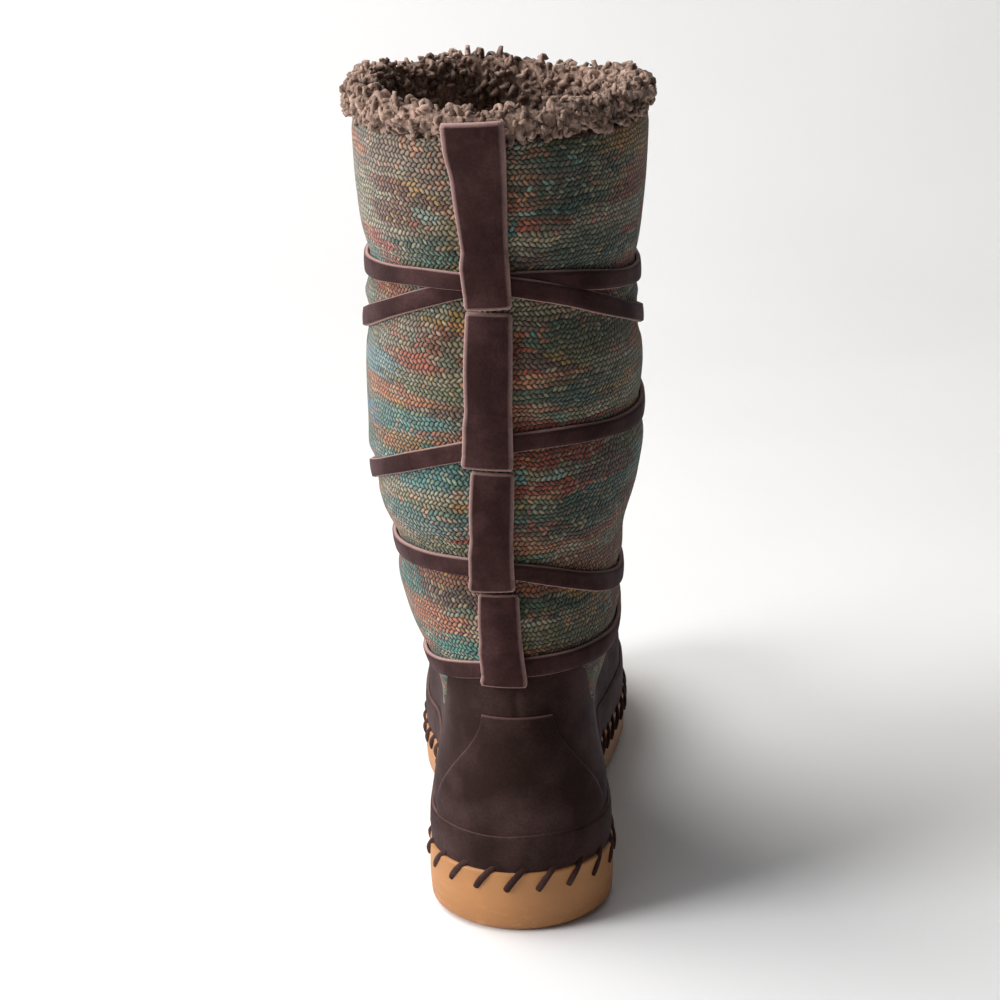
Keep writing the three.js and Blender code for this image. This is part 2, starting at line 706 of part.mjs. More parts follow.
// The rand: a band of suede round the foot, just above the sole's rim.
function makeRand() {
  const rimBack = rimZ(HEEL_BACK);
  const rise = [RAND_CLEAR, 2 * RAND_CLEAR, RAND_HEIGHT / 2, RAND_HEIGHT];
  const face = (lift) =>
    rise.map((height) => angles.map((phi) => overUpper(phi, rimBack + height, lift)));
  const outer = face(GAP + RAND_THICKNESS);
  const inner = face(GAP);
  return ringSolid([...outer, ...inner.reverse()], true);
}

// The heel counter: a patch that flares down to the rand.
function makeCounter() {
  const foot = rimZ(HEEL_BACK) + RAND_HEIGHT + COUNTER_CLEAR;
  const steps = 10;
  const stops = Array.from({ length: steps + 1 }, (_, i) => {
    const share = i / steps;
    return {
      phi: 0,
      level: foot + COUNTER_HEIGHT * (1 - share),
      lift: COUNTER_SEAT,
      half: mix(COUNTER_TOP_WIDTH, COUNTER_FOOT_WIDTH, smoothStep(share * 1.15)) / 2,
    };
  });
  return bandSolid(stops, COUNTER_THICKNESS, 10);
}

const MATERIALS = {
  rubber: { color: 0xb9803f, roughness: 0.55, metalness: 0 },
  knit: { color: 0x6b5a3e, roughness: 0.95, metalness: 0 },
  suede: { color: 0x3a211f, roughness: 0.85, metalness: 0 },
  pile: { color: 0x7a5d4c, roughness: 1.0, metalness: 0 },
  lining: { color: 0x8a6f5c, roughness: 1.0, metalness: 0 },
};

const boot = new THREE.Group();

function addPiece(name, material, solid) {
  const mesh = new THREE.Mesh(geometryOf(solid), new THREE.MeshStandardMaterial(MATERIALS[material]));
  mesh.name = name;
  boot.add(mesh);
}

addPiece("outsole", "rubber", makeOutsole());
addPiece("insole", "lining", makeInsole());
addPiece("upper", "knit", makeUpper());
addPiece("rand", "suede", makeRand());
addPiece("heel_counter", "suede", makeCounter());
addPiece("cuff", "pile", makeCuff());
addPiece("wrap_straps", "suede", makeStraps());
BACK_LOOPS.forEach((row, i) => {
  const turn = BACK_LOOPS.length - 1 - i;
  const stack = i === 0 ? STRAP_CLEAR + CROSSING_LIFT : STRAP_CLEAR;
  addPiece(row.name, "suede", makeBackLoop(row, turn, stack));
});
addPiece("front_keeper", "suede", makeKeeper());

export default boot;
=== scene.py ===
"""A knitted mukluk boot: suede foot, pile cuff, suede straps wound through loops, laced cup sole.

The boot stands in the frame's own axes: +Z up the shaft, +Y to the toe, +X to the inner side of the foot.
Shapes are worked out in millimetres and turned to metres where their meshes are made.
"""
import math

import bmesh
import bpy
import numpy as np
from mathutils import Matrix, Vector, noise
from mathutils.kdtree import KDTree


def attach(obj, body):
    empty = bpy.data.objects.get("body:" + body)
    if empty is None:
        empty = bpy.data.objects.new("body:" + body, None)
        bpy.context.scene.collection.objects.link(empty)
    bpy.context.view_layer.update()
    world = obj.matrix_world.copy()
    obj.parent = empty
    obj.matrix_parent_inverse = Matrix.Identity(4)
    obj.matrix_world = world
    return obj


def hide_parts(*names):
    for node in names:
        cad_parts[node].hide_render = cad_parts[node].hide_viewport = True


bl_info = {
    "name": "Mukluk boot",
    "version": (1, 0, 0),
    "blender": (4, 5, 0),
    "location": "View3D > Sidebar > Mukluk",
    "description": "Builds a knitted mukluk boot with a suede foot, pile cuff and laced sole",
    "category": "Object",
}

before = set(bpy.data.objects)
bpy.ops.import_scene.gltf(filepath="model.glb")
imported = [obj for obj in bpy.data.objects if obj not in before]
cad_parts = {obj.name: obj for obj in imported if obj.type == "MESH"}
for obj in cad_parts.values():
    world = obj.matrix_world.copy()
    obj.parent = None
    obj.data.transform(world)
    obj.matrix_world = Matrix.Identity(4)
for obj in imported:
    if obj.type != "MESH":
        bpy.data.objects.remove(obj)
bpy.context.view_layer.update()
MM = 0.001
TURN = 2 * math.pi

# Sizes of the last, in millimetres, as in the boot's construction.
SOLE_LENGTH = 266.0
HEEL_ROUND = 0.125 * SOLE_LENGTH
TOE_ROUND = 0.205 * SOLE_LENGTH
BALL_WIDTH = 90.0
HEEL_BACK = -58.0
RIM_HEIGHT = 26.0
# The arch and the toe spring start and reach along the sole in shares of its length.
ARCH_RISE = 2.5
ARCH_START, ARCH_REACH = 0.34, 0.24
TOE_START, TOE_REACH = 0.77, 0.23
TOE_SPRING = 10.0
RIM_WIDTH = 2.7
RECESS = 4.0
WALL = 4.0
ANKLE_HEIGHT = 104.0
ANKLE_WIDTH = 80.0
COLLAR_HEIGHT = 308.0
CALF_WIDTH = 102.0
CALF_DEPTH = 122.0
SHAFT_CENTRE = 11.0
SHAFT_LEAN = 5.0
FRONT_RAISE = 4.0
STRAP_WIDTH = 7.4
STRAP_SEAT = 0.6
STRAP_THICKNESS = 1.8
LOOP_THICKNESS = 1.8
RAND_HEIGHT = 16.0
CUFF_HEIGHT = 12.5
CUFF_THICKNESS = 12.5
CUFF_OVERHANG = 3.2
GAP = 0.35
# How far the knit stands off its plain form, how far that reaches, and where a strap still holds it in.
KNIT_SWELL = 1.7
SWELL_REACH = 11.0
HELD_IN = 3.5
# Share of the leather's thickness by which a cut edge is rounded off.
EDGE_ROUND = 0.55


def hermite(u, start, start_pull, end, end_pull):
    """Points between start and end on a smooth curve whose pulls at the two are given."""
    return (
        (2 * u**3 - 3 * u**2 + 1) * start
        + (u**3 - 2 * u**2 + u) * start_pull
        + (3 * u**2 - 2 * u**3) * end
        + (u**3 - u**2) * end_pull
    )


class Table:
    """Smooth curves through the rows of a short table, whose first column is the key."""

    def __init__(self, columns, rows):
        data = np.array(rows, dtype=float)
        self.at = data[:, 0]
        self.columns = {name: data[:, i + 1] for i, name in enumerate(columns)}

    def read(self, name, at):
        x, y = self.at, self.columns[name]
        at = np.clip(at, x[0], x[-1])
        i = np.clip(np.searchsorted(x, at, side="left") - 1, 0, len(x) - 2)
        ahead = np.minimum(np.arange(len(x)) + 1, len(x) - 1)
        behind = np.maximum(np.arange(len(x)) - 1, 0)
        slope = (y[ahead] - y[behind]) / (x[ahead] - x[behind])
        span = x[i + 1] - x[i]
        rise = y[i + 1] - y[i]
        limit = 3 * np.abs(rise)

        def eased(s):
            return np.where(s * rise <= 0, 0, np.clip(s * span, -limit, limit))

        return hermite((at - x[i]) / span, y[i], eased(slope[i]), y[i + 1], eased(slope[i + 1]))


# Half widths of the sole each side of its spine, as shares of the ball width, by shares of its length.
FOOTPRINT = Table(
    ("medial", "lateral", "spine"),
    [
        (0.0, 0.393, 0.393, 0.0),
        (0.14, 0.402, 0.402, 0.0),
        (0.3, 0.372, 0.397, 0.0),
        (0.45, 0.361, 0.42, 0.0),
        (0.58, 0.418, 0.501, 0.005),
        (0.7, 0.471, 0.523, 0.016),
        (0.8, 0.458, 0.501, 0.032),
        (0.9, 0.415, 0.442, 0.054),
        (1.0, 0.377, 0.388, 0.075),
    ],
)
SIDE_HEIGHTS = Table(("side",), [(0.0, 1.0), (0.2, 0.97), (0.45, 0.87), (0.7, 0.8), (1.0, 0.8)])

# Sections of the foot and shaft, in the same shares as in the boot's construction.
# Foot: back, rise, front, crest, heel round, toe round, tuck, oval, width, sag.
FOOT_SECTIONS = [
    (0.006, 0.3, 0.013, 0.25, 0.13, 0.215, 0.032, 0.0, 0.84, 0.85),
    (0.006, 0.44, 0.045, 0.41, 0.13, 0.235, 0.054, 0.0, 0.84, 0.65),
    (0.01, 0.57, 0.12, 0.5, 0.135, 0.27, 0.081, 0.08, 0.85, 0.45),
    (0.017, 0.7, 0.215, 0.585, 0.14, 0.3, 0.108, 0.22, 0.87, 0.3),
    (0.025, 0.81, 0.315, 0.7, 0.15, 0.31, 0.135, 0.42, 0.91, 0.15),
    (0.031, 0.91, 0.405, 0.845, 0.165, 0.28, 0.14, 0.65, 0.95, 0.05),
    (0.035, 1.0, 0.468, 1.03, 0.185, 0.25, 0.14, 0.85, 0.99, 0.0),
]
# Shaft: lift, back, front, width, lean.
SHAFT_SECTIONS = [
    (0.09, 0.49, 0.555, 0.83, 0.5),
    (0.2, 0.468, 0.512, 0.865, 0.75),
    (0.31, 0.482, 0.504, 0.99, 0.85),
    (0.44, 0.472, 0.482, 1.02, 0.75),
    (0.59, 0.498, 0.506, 1.018, 0.8),
    (0.735, 0.482, 0.492, 0.99, 0.75),
    (0.88, 0.512, 0.52, 1.045, 0.75),
    (1.0, 0.518, 0.524, 1.065, 0.7),
]


def share_of(y):
    return (y - HEEL_BACK) / SOLE_LENGTH


def tread_z(y):
    """Height of the sole's underside along its length: flat heel, arch, flat ball, toe spring."""
    share = share_of(y)
    arch = ARCH_RISE * np.sin(math.pi * np.clip((share - ARCH_START) / ARCH_REACH, 0, 1)) ** 2
    toe = TOE_SPRING * np.clip((share - TOE_START) / TOE_REACH, 0, 1) ** 1.7
    return arch + toe


def rim_z(y):
    return tread_z(y) + RIM_HEIGHT * SIDE_HEIGHTS.read("side", share_of(y))


RIM_BACK = float(rim_z(np.array(HEEL_BACK)))
RIM_FRONT = float(rim_z(np.array(HEEL_BACK + SOLE_LENGTH)))


def rounded(distance, reach):
    rest = 1 - np.minimum(np.maximum(distance, 0) / reach, 1)
    return np.sqrt(np.maximum(1 - rest**2, 0))


def ring_plan(phi, back, front, heel_round, toe_round, tuck, oval, oval_share, lean):
    """Plan of a closed ring round the foot. phi runs from the back over the inner side to the front."""
    length = front - back
    from_back = length * (1 - np.cos(phi)) / 2
    ends = rounded(from_back, heel_round) * rounded(length - from_back, toe_round)
    y = back + from_back
    medial = np.sin(phi) >= 0
    share = share_of(y)
    half = np.where(medial, FOOTPRINT.read("medial", share), FOOTPRINT.read("lateral", share)) * BALL_WIDTH
    half = half - tuck
    half = half + (oval - half) * oval_share
    spine = FOOTPRINT.read("spine", share) * BALL_WIDTH * (1 - oval_share) + lean
    return spine + np.where(medial, 1, -1) * half * ends, y, from_back / length


def sole_plan(phi, inset):
    """Plan of the sole, drawn in by an inset."""
    back, front = HEEL_BACK + inset, HEEL_BACK + SOLE_LENGTH - inset
    return ring_plan(phi, back, front, HEEL_ROUND, TOE_ROUND, inset, 0.0, 0.0, 0.0)[:2]


def upper_sections():
    """The upper's sections in millimetres, keyed by their height on the back line."""
    tuck = RIM_WIDTH + GAP
    toe_front = HEEL_BACK + SOLE_LENGTH
    rows = [
        (RIM_BACK + lift, RIM_FRONT + lift, HEEL_BACK + tuck, toe_front - tuck, HEEL_ROUND, TOE_ROUND,
         tuck, 0.0, 0.0, 0.0, 1.0)
        for lift in (GAP - RECESS, 2.0)
    ]
    for back, rise, front, crest, heel, toe, inset, share, width, sag in FOOT_SECTIONS:
        rows.append((
            RIM_BACK + rise * (ANKLE_HEIGHT - RIM_BACK), RIM_FRONT + crest * (ANKLE_HEIGHT - RIM_FRONT),
            HEEL_BACK + back * SOLE_LENGTH, HEEL_BACK + (1 - front) * SOLE_LENGTH, heel * SOLE_LENGTH,
            toe * SOLE_LENGTH, inset * BALL_WIDTH, width * ANKLE_WIDTH / 2, share, 0.0, sag,
        ))
    for lift, back, front, width, lean in SHAFT_SECTIONS:
        level = shaft_level(lift)
        end = (back + front) * CALF_DEPTH / 2
        rows.append((
            level, level + FRONT_RAISE, SHAFT_CENTRE - back * CALF_DEPTH, SHAFT_CENTRE + front * CALF_DEPTH,
            end, end, 0.0, width * CALF_WIDTH / 2, 1.0, -lean * SHAFT_LEAN, 0.0,
        ))
    return Table(SECTION_NAMES, rows)


SECTION_NAMES = (
    "front_z", "back", "front", "heel_round", "toe_round", "tuck", "oval", "oval_share", "lean", "sag",
)


def shaft_level(lift):
    return ANKLE_HEIGHT + lift * (COLLAR_HEIGHT - ANKLE_HEIGHT)


SECTIONS = upper_sections()
LOWEST = float(SECTIONS.at[0])


def upper_point(phi, level):
    """Points of the upper's outer face at angles and at heights on its back line."""
    phi, level = np.broadcast_arrays(np.asarray(phi, float), np.asarray(level, float))
    front_z, *plan, sag = (SECTIONS.read(name, level) for name in SECTION_NAMES)
    x, y, along = ring_plan(phi, *plan)
    rim_back, rim_front = rim_z(plan[0]), rim_z(plan[1])
    height = np.clip(level, SECTIONS.at[0], SECTIONS.at[-1])
    z = height + (front_z - height) * along + sag * (rim_z(y) - (rim_back + (rim_front - rim_back) * along))
    return np.stack([x, y, z], axis=-1)


def upper_frame(phi, level):
    """The two directions along the upper and its outward normal."""
    step = 0.01
    low = np.clip(np.asarray(level, float) - 1, LOWEST, COLLAR_HEIGHT - 2)
    run = (upper_point(phi + step, level) - upper_point(phi - step, level)) / (2 * step)
    up = (upper_point(phi, low + 2) - upper_point(phi, low)) / 2
    normal = np.cross(run, up)
    return run, up, normal / np.linalg.norm(normal, axis=-1, keepdims=True)


def over_upper(phi, level, lift):
    """Points over the upper, lifted off it. Above the collar the face goes on straight up."""
    phi, level, lift = np.broadcast_arrays(*(np.asarray(v, float) for v in (phi, level, lift)))
    height = np.minimum(level, COLLAR_HEIGHT)
    normal = upper_frame(phi, height)[2]
    point = upper_point(phi, height) + normal * lift[..., None]
    point[..., 2] += level - height
    return point


def smooth(value):
    share = np.clip(value, 0, 1)
    return share * share * (3 - 2 * share)


def bump_at(phi, level, spot_phi, spot_level, reach_phi, reach_level, height):
    """A soft ridge, or a trough where height is below zero, round a place on the upper."""
    away = (phi - spot_phi + math.pi) % TURN - math.pi
    return height * np.exp(-((away / reach_phi) ** 2) - ((level - spot_level) / reach_level) ** 2)


# Sewn loops down the back: top, foot, strap lift, widths and sideways drifts at top and foot.
BACK_LOOPS = [
    (1.038, 0.702, 0.748, 21.6, 15.0, -7.4, -3.1),
    (0.695, 0.404, 0.45, 17.2, 17.8, -3.4, -5.0),
    (0.397, 0.168, 0.208, 16.4, 15.7, -3.3, -4.5),
    (0.161, -0.016, 0.02, 15.3, 15.8, -2.6, -4.3),
]
# Straps round the shaft: turns round it (whole at the back, .25 at the inner side) and lift.
LONG_STRAP = [
    (-0.48, 0.12), (-0.36, 0.065), (-0.25, -0.012), (0.0, 0.02), (0.25, 0.02), (0.5, 0.12), (0.75, 0.175),
    (1.0, 0.208), (1.25, 0.1), (1.5, 0.18), (1.75, 0.31), (2.0, 0.45), (2.25, 0.44), (2.5, 0.52),
    (2.75, 0.61), (3.0, 0.748), (3.25, 0.7), (3.487, 0.74),
]
SHORT_STRAP = [(-0.487, 0.74), (-0.25, 0.725), (0.0, 0.748), (0.25, 0.61), (0.5, 0.52)]
CROSSING_LIFT = 1.7
LONG_CROSSINGS = (2.5,)
SHORT_CROSSINGS = (0.0,)
CROSSING_REACH = 0.07
KEEPER_LIFT = 0.74
# Steps along the long strap.
LONG_STEPS = 520

# Creases of the upper: angle round it, level, reach round and up it, height.
CREASES = [
    (0.75, 262, 0.55, 9, 1.3), (0.95, 246, 0.5, 6, -1.1), (-0.8, 268, 0.6, 8, 1.0), (-1.1, 236, 0.6, 9, 1.4),
    (0.9, 221, 0.7, 9, 1.2), (-0.7, 212, 0.5, 7, -0.9), (1.5, 183, 0.6, 9, 1.1), (-1.4, 176, 0.6, 8, 1.2),
    (0.6, 170, 0.4, 6, -0.8), (-0.55, 164, 0.4, 7, 0.9), (1.3, 134, 0.6, 7, 1.0), (-1.2, 130, 0.5, 7, 1.1),
    (2.6, 122, 0.8, 7, 1.8), (3.1, 111, 0.9, 5, -1.8), (3.14, 101, 0.8, 6, 1.6), (2.3, 98, 0.4, 5, -1.2),
    (-2.3, 99, 0.4, 5, -1.2), (-2.6, 120, 0.7, 6, 1.4), (2.0, 86, 0.4, 7, 1.0), (-2.0, 85, 0.4, 7, 1.0),
    (0.55, 84, 0.22, 12, 0.7), (-0.6, 80, 0.2, 11, 0.8), (3.0, 83, 0.7, 4, -0.9), (-3.0, 76, 0.6, 4, 0.8),
]
# Top edge of the suede foot: angle from the back and level. The knit dips between heel tab and vamp.
SUEDE_EDGE = Table(("level",), [
    (0.0, 106.0), (0.5, 105.0), (0.66, 101.0), (0.74, 92.0), (0.86, 80.5), (1.02, 77.0), (1.22, 80.0),
    (1.42, 91.0), (1.62, 103.0), (1.9, 111.0), (2.3, 116.0), (2.7, 121.0), (3.1416, 123.0),
])


def suede_level(phi):
    """Level of the suede's top edge at an angle, the same on both sides of the foot."""
    return SUEDE_EDGE.read("level", np.abs((phi + math.pi) % TURN - math.pi))


def route_points(route, count):
    """Evenly spaced turns along a strap, with its lift from a smooth curve through its points."""
    at, lifts = np.array(route, float).T
    turn = np.linspace(at[0], at[-1], count)
    slope = np.gradient(lifts, at)
    i = np.clip(np.searchsorted(at, turn, side="left") - 1, 0, len(at) - 2)
    span = at[i + 1] - at[i]
    lift = hermite((turn - at[i]) / span, lifts[i], slope[i] * span, lifts[i + 1], slope[i + 1] * span)
    return turn, shaft_level(lift)


def strap_stops(route, crossings, count):
    """Angle, level and lift off the knit of each step along a strap."""
    turn, level = route_points(route, count)
    near = np.min([np.abs(turn - at) for at in crossings], axis=0)
    ride = CROSSING_LIFT * smooth(1.5 - near / CROSSING_REACH)
    return turn * TURN, level, STRAP_SEAT + ride


def over_strap(near):
    """1 over a strap, 0 a little beside it. near is the distance from its middle."""
    shoulder, start = STRAP_WIDTH * 0.78, 2.05
    return smooth(start - near / shoulder)


def back_pace(level):
    """Millimetres of the upper to a radian, on its back line."""
    held = np.minimum(level, COLLAR_HEIGHT)
    return np.linalg.norm(upper_frame(np.zeros_like(held), held)[0], axis=-1)


def nearest(points, targets):
    """Distance from each point to the nearest of the targets."""
    tree = KDTree(len(targets))
    for i, point in enumerate(targets):
        tree.insert(point, i)
    tree.balance()
    return np.array([tree.find(point)[2] for point in points])


def press_marks():
    """Points where straps and loops hold the knit in."""
    marks = []
    for route, crossings in ((LONG_STRAP, LONG_CROSSINGS), (SHORT_STRAP, SHORT_CROSSINGS)):
        phi, level, _ = strap_stops(route, crossings, 420)
        marks.append(upper_point(phi, level))
    for top, foot, _, width, foot_width, drift, foot_drift in BACK_LOOPS:
        level = np.linspace(shaft_level(top), shaft_level(foot), 20)
        middle = np.linspace(drift, foot_drift, 20)
        pace, margin = back_pace(level), 2.5
        for side in np.linspace(-0.5, 0.5, 5):
            offset = side * (min(width, foot_width) - 2 * margin)
            marks.append(upper_point((middle + offset) / pace, np.minimum(level, COLLAR_HEIGHT)))
    return np.concatenate(marks)


MARKS = press_marks()


def knit_relief(phi, level, points):
    """How far the knit stands off its plain form: pressed in at the straps, full between them."""
    in_suede_by, collar_above, collar_fade = 0.8, 3, 9
    away = nearest(points.reshape(-1, 3), MARKS).reshape(points.shape[:-1])
    swell = KNIT_SWELL * (1 - np.exp(-((away / SWELL_REACH) ** 2))) * smooth((away - HELD_IN) / 5)
    creased = sum(bump_at(phi, level, *row) for row in CREASES) * smooth((away - HELD_IN) / 7)
    in_suede = smooth((suede_level(phi) - level + 1.5) / 3)
    fade = smooth((COLLAR_HEIGHT + collar_above - level) / collar_fade)
    return (swell + creased) * (1 - in_suede) * fade - in_suede_by * in_suede


def suede_relief(phi, level):
    return sum(bump_at(phi, level, *row) for row in CREASES if row[1] < 126) * smooth((level - 40) / 20)


def linked(name, data):
    """A new object in the scene with its data."""
    obj = bpy.data.objects.new(name, data)
    bpy.context.scene.collection.objects.link(obj)
    return obj


def mark_cut(mesh, cut):
    """Marks each point by how far it lies on a cut edge."""
    mesh.attributes.new("cut", "FLOAT", "POINT").data.foreach_set("value", cut.ravel())


def grid_object(name, points, materials, closed_round=True, closed_up=True, maps=None, second_from=None,
                cut=None):
    """A mesh from a grid of points in millimetres, with its maps and its cut edges.

    The second material starts at the row second_from.
    """
    rows, cols = points.shape[:2]
    mesh = bpy.data.meshes.new(name)
    faces, corners, slots = [], [], []
    for r in range(rows if closed_up else rows - 1):
        up = (r + 1) % rows
        for c in range(cols if closed_round else cols - 1):
            side = (c + 1) % cols
            faces.append((r * cols + c, r * cols + side, up * cols + side, up * cols + c))
            corners += [(r, c), (r, c + 1), (r + 1, c + 1), (r + 1, c)]
            slots.append(0 if second_from is None or r < second_from else 1)
    mesh.from_pydata((points.reshape(-1, 3) * MM).tolist(), [], faces)
    for material in materials:
        mesh.materials.append(bpy.data.materials[material])
    mesh.polygons.foreach_set("material_index", slots)
    mesh.polygons.foreach_set("use_smooth", [True] * len(faces))
    for key, places in (maps or {}).items():
        values = np.array([places[min(r, len(places) - 1), c] for r, c in corners])
        mesh.uv_layers.new(name=key).data.foreach_set("uv", values.ravel())
    if cut is not None:
        mark_cut(mesh, cut)
    return linked(name, mesh)


def band_object(name, phi, level, high, low, round_off):
    """A closed suede band round the foot between two lifts off it, its top edge cut and rounded off."""
    rim = np.zeros_like(level)
    rim[-1] = 1
    outer = over_upper(phi, level, high - rim * round_off)
    inner = over_upper(phi, level, low)
    points = np.concatenate([outer, inner[::-1]])
    cut = np.concatenate([rim, rim[::-1]])
    return grid_object(name, points, ["foot_suede"], maps={"surface": arc_map(points)}, cut=cut)


def arc_map(points):
    """Lengths round and up a grid, in decimetres, measured from its first corner."""
    wrapped = np.concatenate([points, points[:, :1]], axis=1)
    around = np.linalg.norm(np.diff(wrapped, axis=1), axis=-1)
    around = np.concatenate([np.zeros((len(points), 1)), np.cumsum(around, axis=1)], axis=1)
    upward = np.linalg.norm(np.diff(wrapped, axis=0), axis=-1)
    upward = np.concatenate([np.zeros((1, wrapped.shape[1])), np.cumsum(upward, axis=0)], axis=0)
    girth = around[:, -1:].mean()
    share = around / around[:, -1:]
    return np.stack([share * girth, upward.mean(axis=1, keepdims=True) + 0 * share], axis=-1) / 100


def spread(count, margin):
    """Steps from 0 to 1, even inside the margins, with one more at each end."""
    return np.concatenate([[0.0], np.linspace(margin, 1 - margin, count), [1.0]])


def shell_object(name, phi, level, low, high, material, relief=0.0, paler=0.0):
    """A closed piece of cloth or leather over the upper, with rounded cut edges.

    phi and level are grids, and low and high the lifts of its two faces. The attribute cut marks its rim, and
    paler is how much of it shows beside the rim.
    """
    rows, cols = phi.shape
    rim = np.zeros((rows, cols))
    rim[0, :] = rim[-1, :] = rim[:, 0] = rim[:, -1] = 1
    outer = over_upper(phi, level, relief + high - rim * (high - low) * EDGE_ROUND)
    inner = over_upper(phi, level, relief + low)
    ring = [(0, c) for c in range(cols)] + [(r, cols - 1) for r in range(1, rows)]
    ring += [(rows - 1, c) for c in range(cols - 2, -1, -1)] + [(r, 0) for r in range(rows - 2, 0, -1)]
    size = rows * cols
    faces = []
    for r in range(rows - 1):
        for c in range(cols - 1):
            a, b, d, e = r * cols + c, r * cols + c + 1, (r + 1) * cols + c + 1, (r + 1) * cols + c
            faces.append((a, b, d, e))
            faces.append((size + a, size + e, size + d, size + b))
    for k, (r, c) in enumerate(ring):
        r2, c2 = ring[(k + 1) % len(ring)]
        a, b = r * cols + c, r2 * cols + c2
        faces.append((b, a, size + a, size + b))
    points = np.concatenate([outer.reshape(-1, 3), inner.reshape(-1, 3)])
    mesh = bpy.data.meshes.new(name)
    mesh.from_pydata((points * MM).tolist(), [], faces)
    mesh.materials.append(bpy.data.materials[material])
    mesh.polygons.foreach_set("use_smooth", [True] * len(faces))
    worn = rim.copy()
    worn[1, 1:-1] = worn[-2, 1:-1] = worn[1:-1, 1] = worn[1:-1, -2] = paler
    mark_cut(mesh, np.concatenate([worn, rim]))
    along = np.linalg.norm(np.diff(outer, axis=0), axis=-1).mean(axis=1)
    across = np.linalg.norm(np.diff(outer, axis=1), axis=-1).mean(axis=0)
    u, v = (np.concatenate([[0], np.cumsum(steps)]) / 100 for steps in (across, along))
    grid = np.stack(np.meshgrid(u, v), axis=-1).reshape(-1, 2)
    grid = np.concatenate([grid, grid])
    corner = np.zeros(len(mesh.loops), dtype=int)
    mesh.loops.foreach_get("vertex_index", corner)
    mesh.uv_layers.new(name="surface").data.foreach_set("uv", grid[corner].ravel())
    obj = linked(name, mesh)
    outward(obj)
    return obj


def outward(obj, close=False):
    """Turns the faces of a closed piece outwards, its open rims closed first if asked."""
    work = bmesh.new()
    work.from_mesh(obj.data)
    if close:
        bmesh.ops.holes_fill(work, edges=[e for e in work.edges if e.is_boundary], sides=0)
        bmesh.ops.triangulate(work, faces=[f for f in work.faces if len(f.verts) > 4])
    bmesh.ops.recalc_face_normals(work, faces=work.faces)
    if work.calc_volume(signed=True) < 0:
        bmesh.ops.reverse_faces(work, faces=work.faces)
    work.to_mesh(obj.data)
    work.free()


def band_grid(phi, level, half, across):
    """Angles and levels of a band laid over the upper along a route, square to it."""
    held = np.minimum(level, COLLAR_HEIGHT)
    run, up, normal = upper_frame(phi, held)
    ahead = np.gradient(phi)[:, None] * run + np.gradient(level)[:, None] * up
    ahead = ahead / np.linalg.norm(ahead, axis=-1, keepdims=True)
    side = np.cross(ahead, normal)
    rr, ru, uu = (run * run).sum(-1), (run * up).sum(-1), (up * up).sum(-1)
    sr, su = (side * run).sum(-1), (side * up).sum(-1)
    det = rr * uu - ru * ru
    phi_per, level_per = (sr * uu - su * ru) / det, (su * rr - sr * ru) / det
    offset = (2 * across - 1)[None, :] * (half[:, None] if np.ndim(half) else half)
    return phi[:, None] + phi_per[:, None] * offset, level[:, None] + level_per[:, None] * offset


# Node trees.


COLOUR, NUMBER, VECTOR = "NodeSocketColor", "NodeSocketFloat", "NodeSocketVector"


def fill(tree, sockets, values):
    """Gives each socket its value, or links another socket to it."""
    for key, value in values.items():
        if isinstance(value, bpy.types.NodeSocket):
            tree.links.new(value, sockets[key])
        else:
            sockets[key].default_value = value


def node(tree, kind, values=None, **settings):
    """A node with its settings and its sockets filled."""
    made = tree.nodes.new(kind)
    for key, value in settings.items():
        setattr(made, key, value)
    fill(tree, made.inputs, values or {})
    return made


def calc(tree, operation, *values):
    return node(tree, "ShaderNodeMath", dict(enumerate(values)), operation=operation).outputs[0]


def times(tree, first, second):
    return calc(tree, "MULTIPLY", first, second)


def plus(tree, first, second):
    return calc(tree, "ADD", first, second)


def less(tree, first, second):
    return calc(tree, "SUBTRACT", first, second)


def vector(tree, operation, *values):
    return node(tree, "ShaderNodeVectorMath", dict(enumerate(values)), operation=operation).outputs[0]


def scaled(tree, value, factor):
    return node(tree, "ShaderNodeVectorMath", {0: value, "Scale": factor}, operation="SCALE").outputs[0]


def combine(tree, x, y=0.0, z=0.0):
    return node(tree, "ShaderNodeCombineXYZ", {0: x, 1: y, 2: z}).outputs[0]


def remap(tree, value, low, high, first, last):
    """A value held between low and high, turned to the range from first to last."""
    return node(tree, "ShaderNodeMapRange", {"Value": value, 1: low, 2: high, 3: first, 4: last}).outputs[0]


def stretched(tree, place, scale):
    return node(tree, "ShaderNodeMapping", {"Vector": place, "Scale": scale}).outputs[0]


def own_place(tree):
    return node(tree, "ShaderNodeTexCoord").outputs["Object"]


def blend(tree, factor, first, second, mode="MIX"):
    values = {0: factor, 6: first, 7: second}
    return node(tree, "ShaderNodeMix", values, data_type="RGBA", blend_type=mode).outputs[2]


def shaded(tree, colour, value):
    """A colour made lighter or darker by a value."""
    grey = node(tree, "ShaderNodeCombineColor", {0: value, 1: value, 2: value}).outputs[0]
    return blend(tree, 1.0, colour, grey, "MULTIPLY")


def ramp(tree, factor, stops, mode="LINEAR"):
    made = node(tree, "ShaderNodeValToRGB", {"Fac": factor})
    made.color_ramp.interpolation = mode
    steps = made.color_ramp.elements
    while len(steps) < len(stops):
        steps.new(1.0)
    for step, (place, colour) in zip(steps, stops):
        step.position = place
        step.color = colour
    return made.outputs["Color"]


def noise_value(tree, place, scale, detail=2.0, roughness=0.5):
    values = {"Vector": place, "Scale": scale, "Detail": detail, "Roughness": roughness}
    return node(tree, "ShaderNodeTexNoise", values).outputs["Fac"]


def linear(code):
    """A colour of a shade as it is seen, written as a hexadecimal code."""
    parts = [int(code[i : i + 2], 16) / 255 for i in (0, 2, 4)]
    return (*[p / 12.92 if p <= 0.04045 else ((p + 0.055) / 1.055) ** 2.4 for p in parts], 1.0)


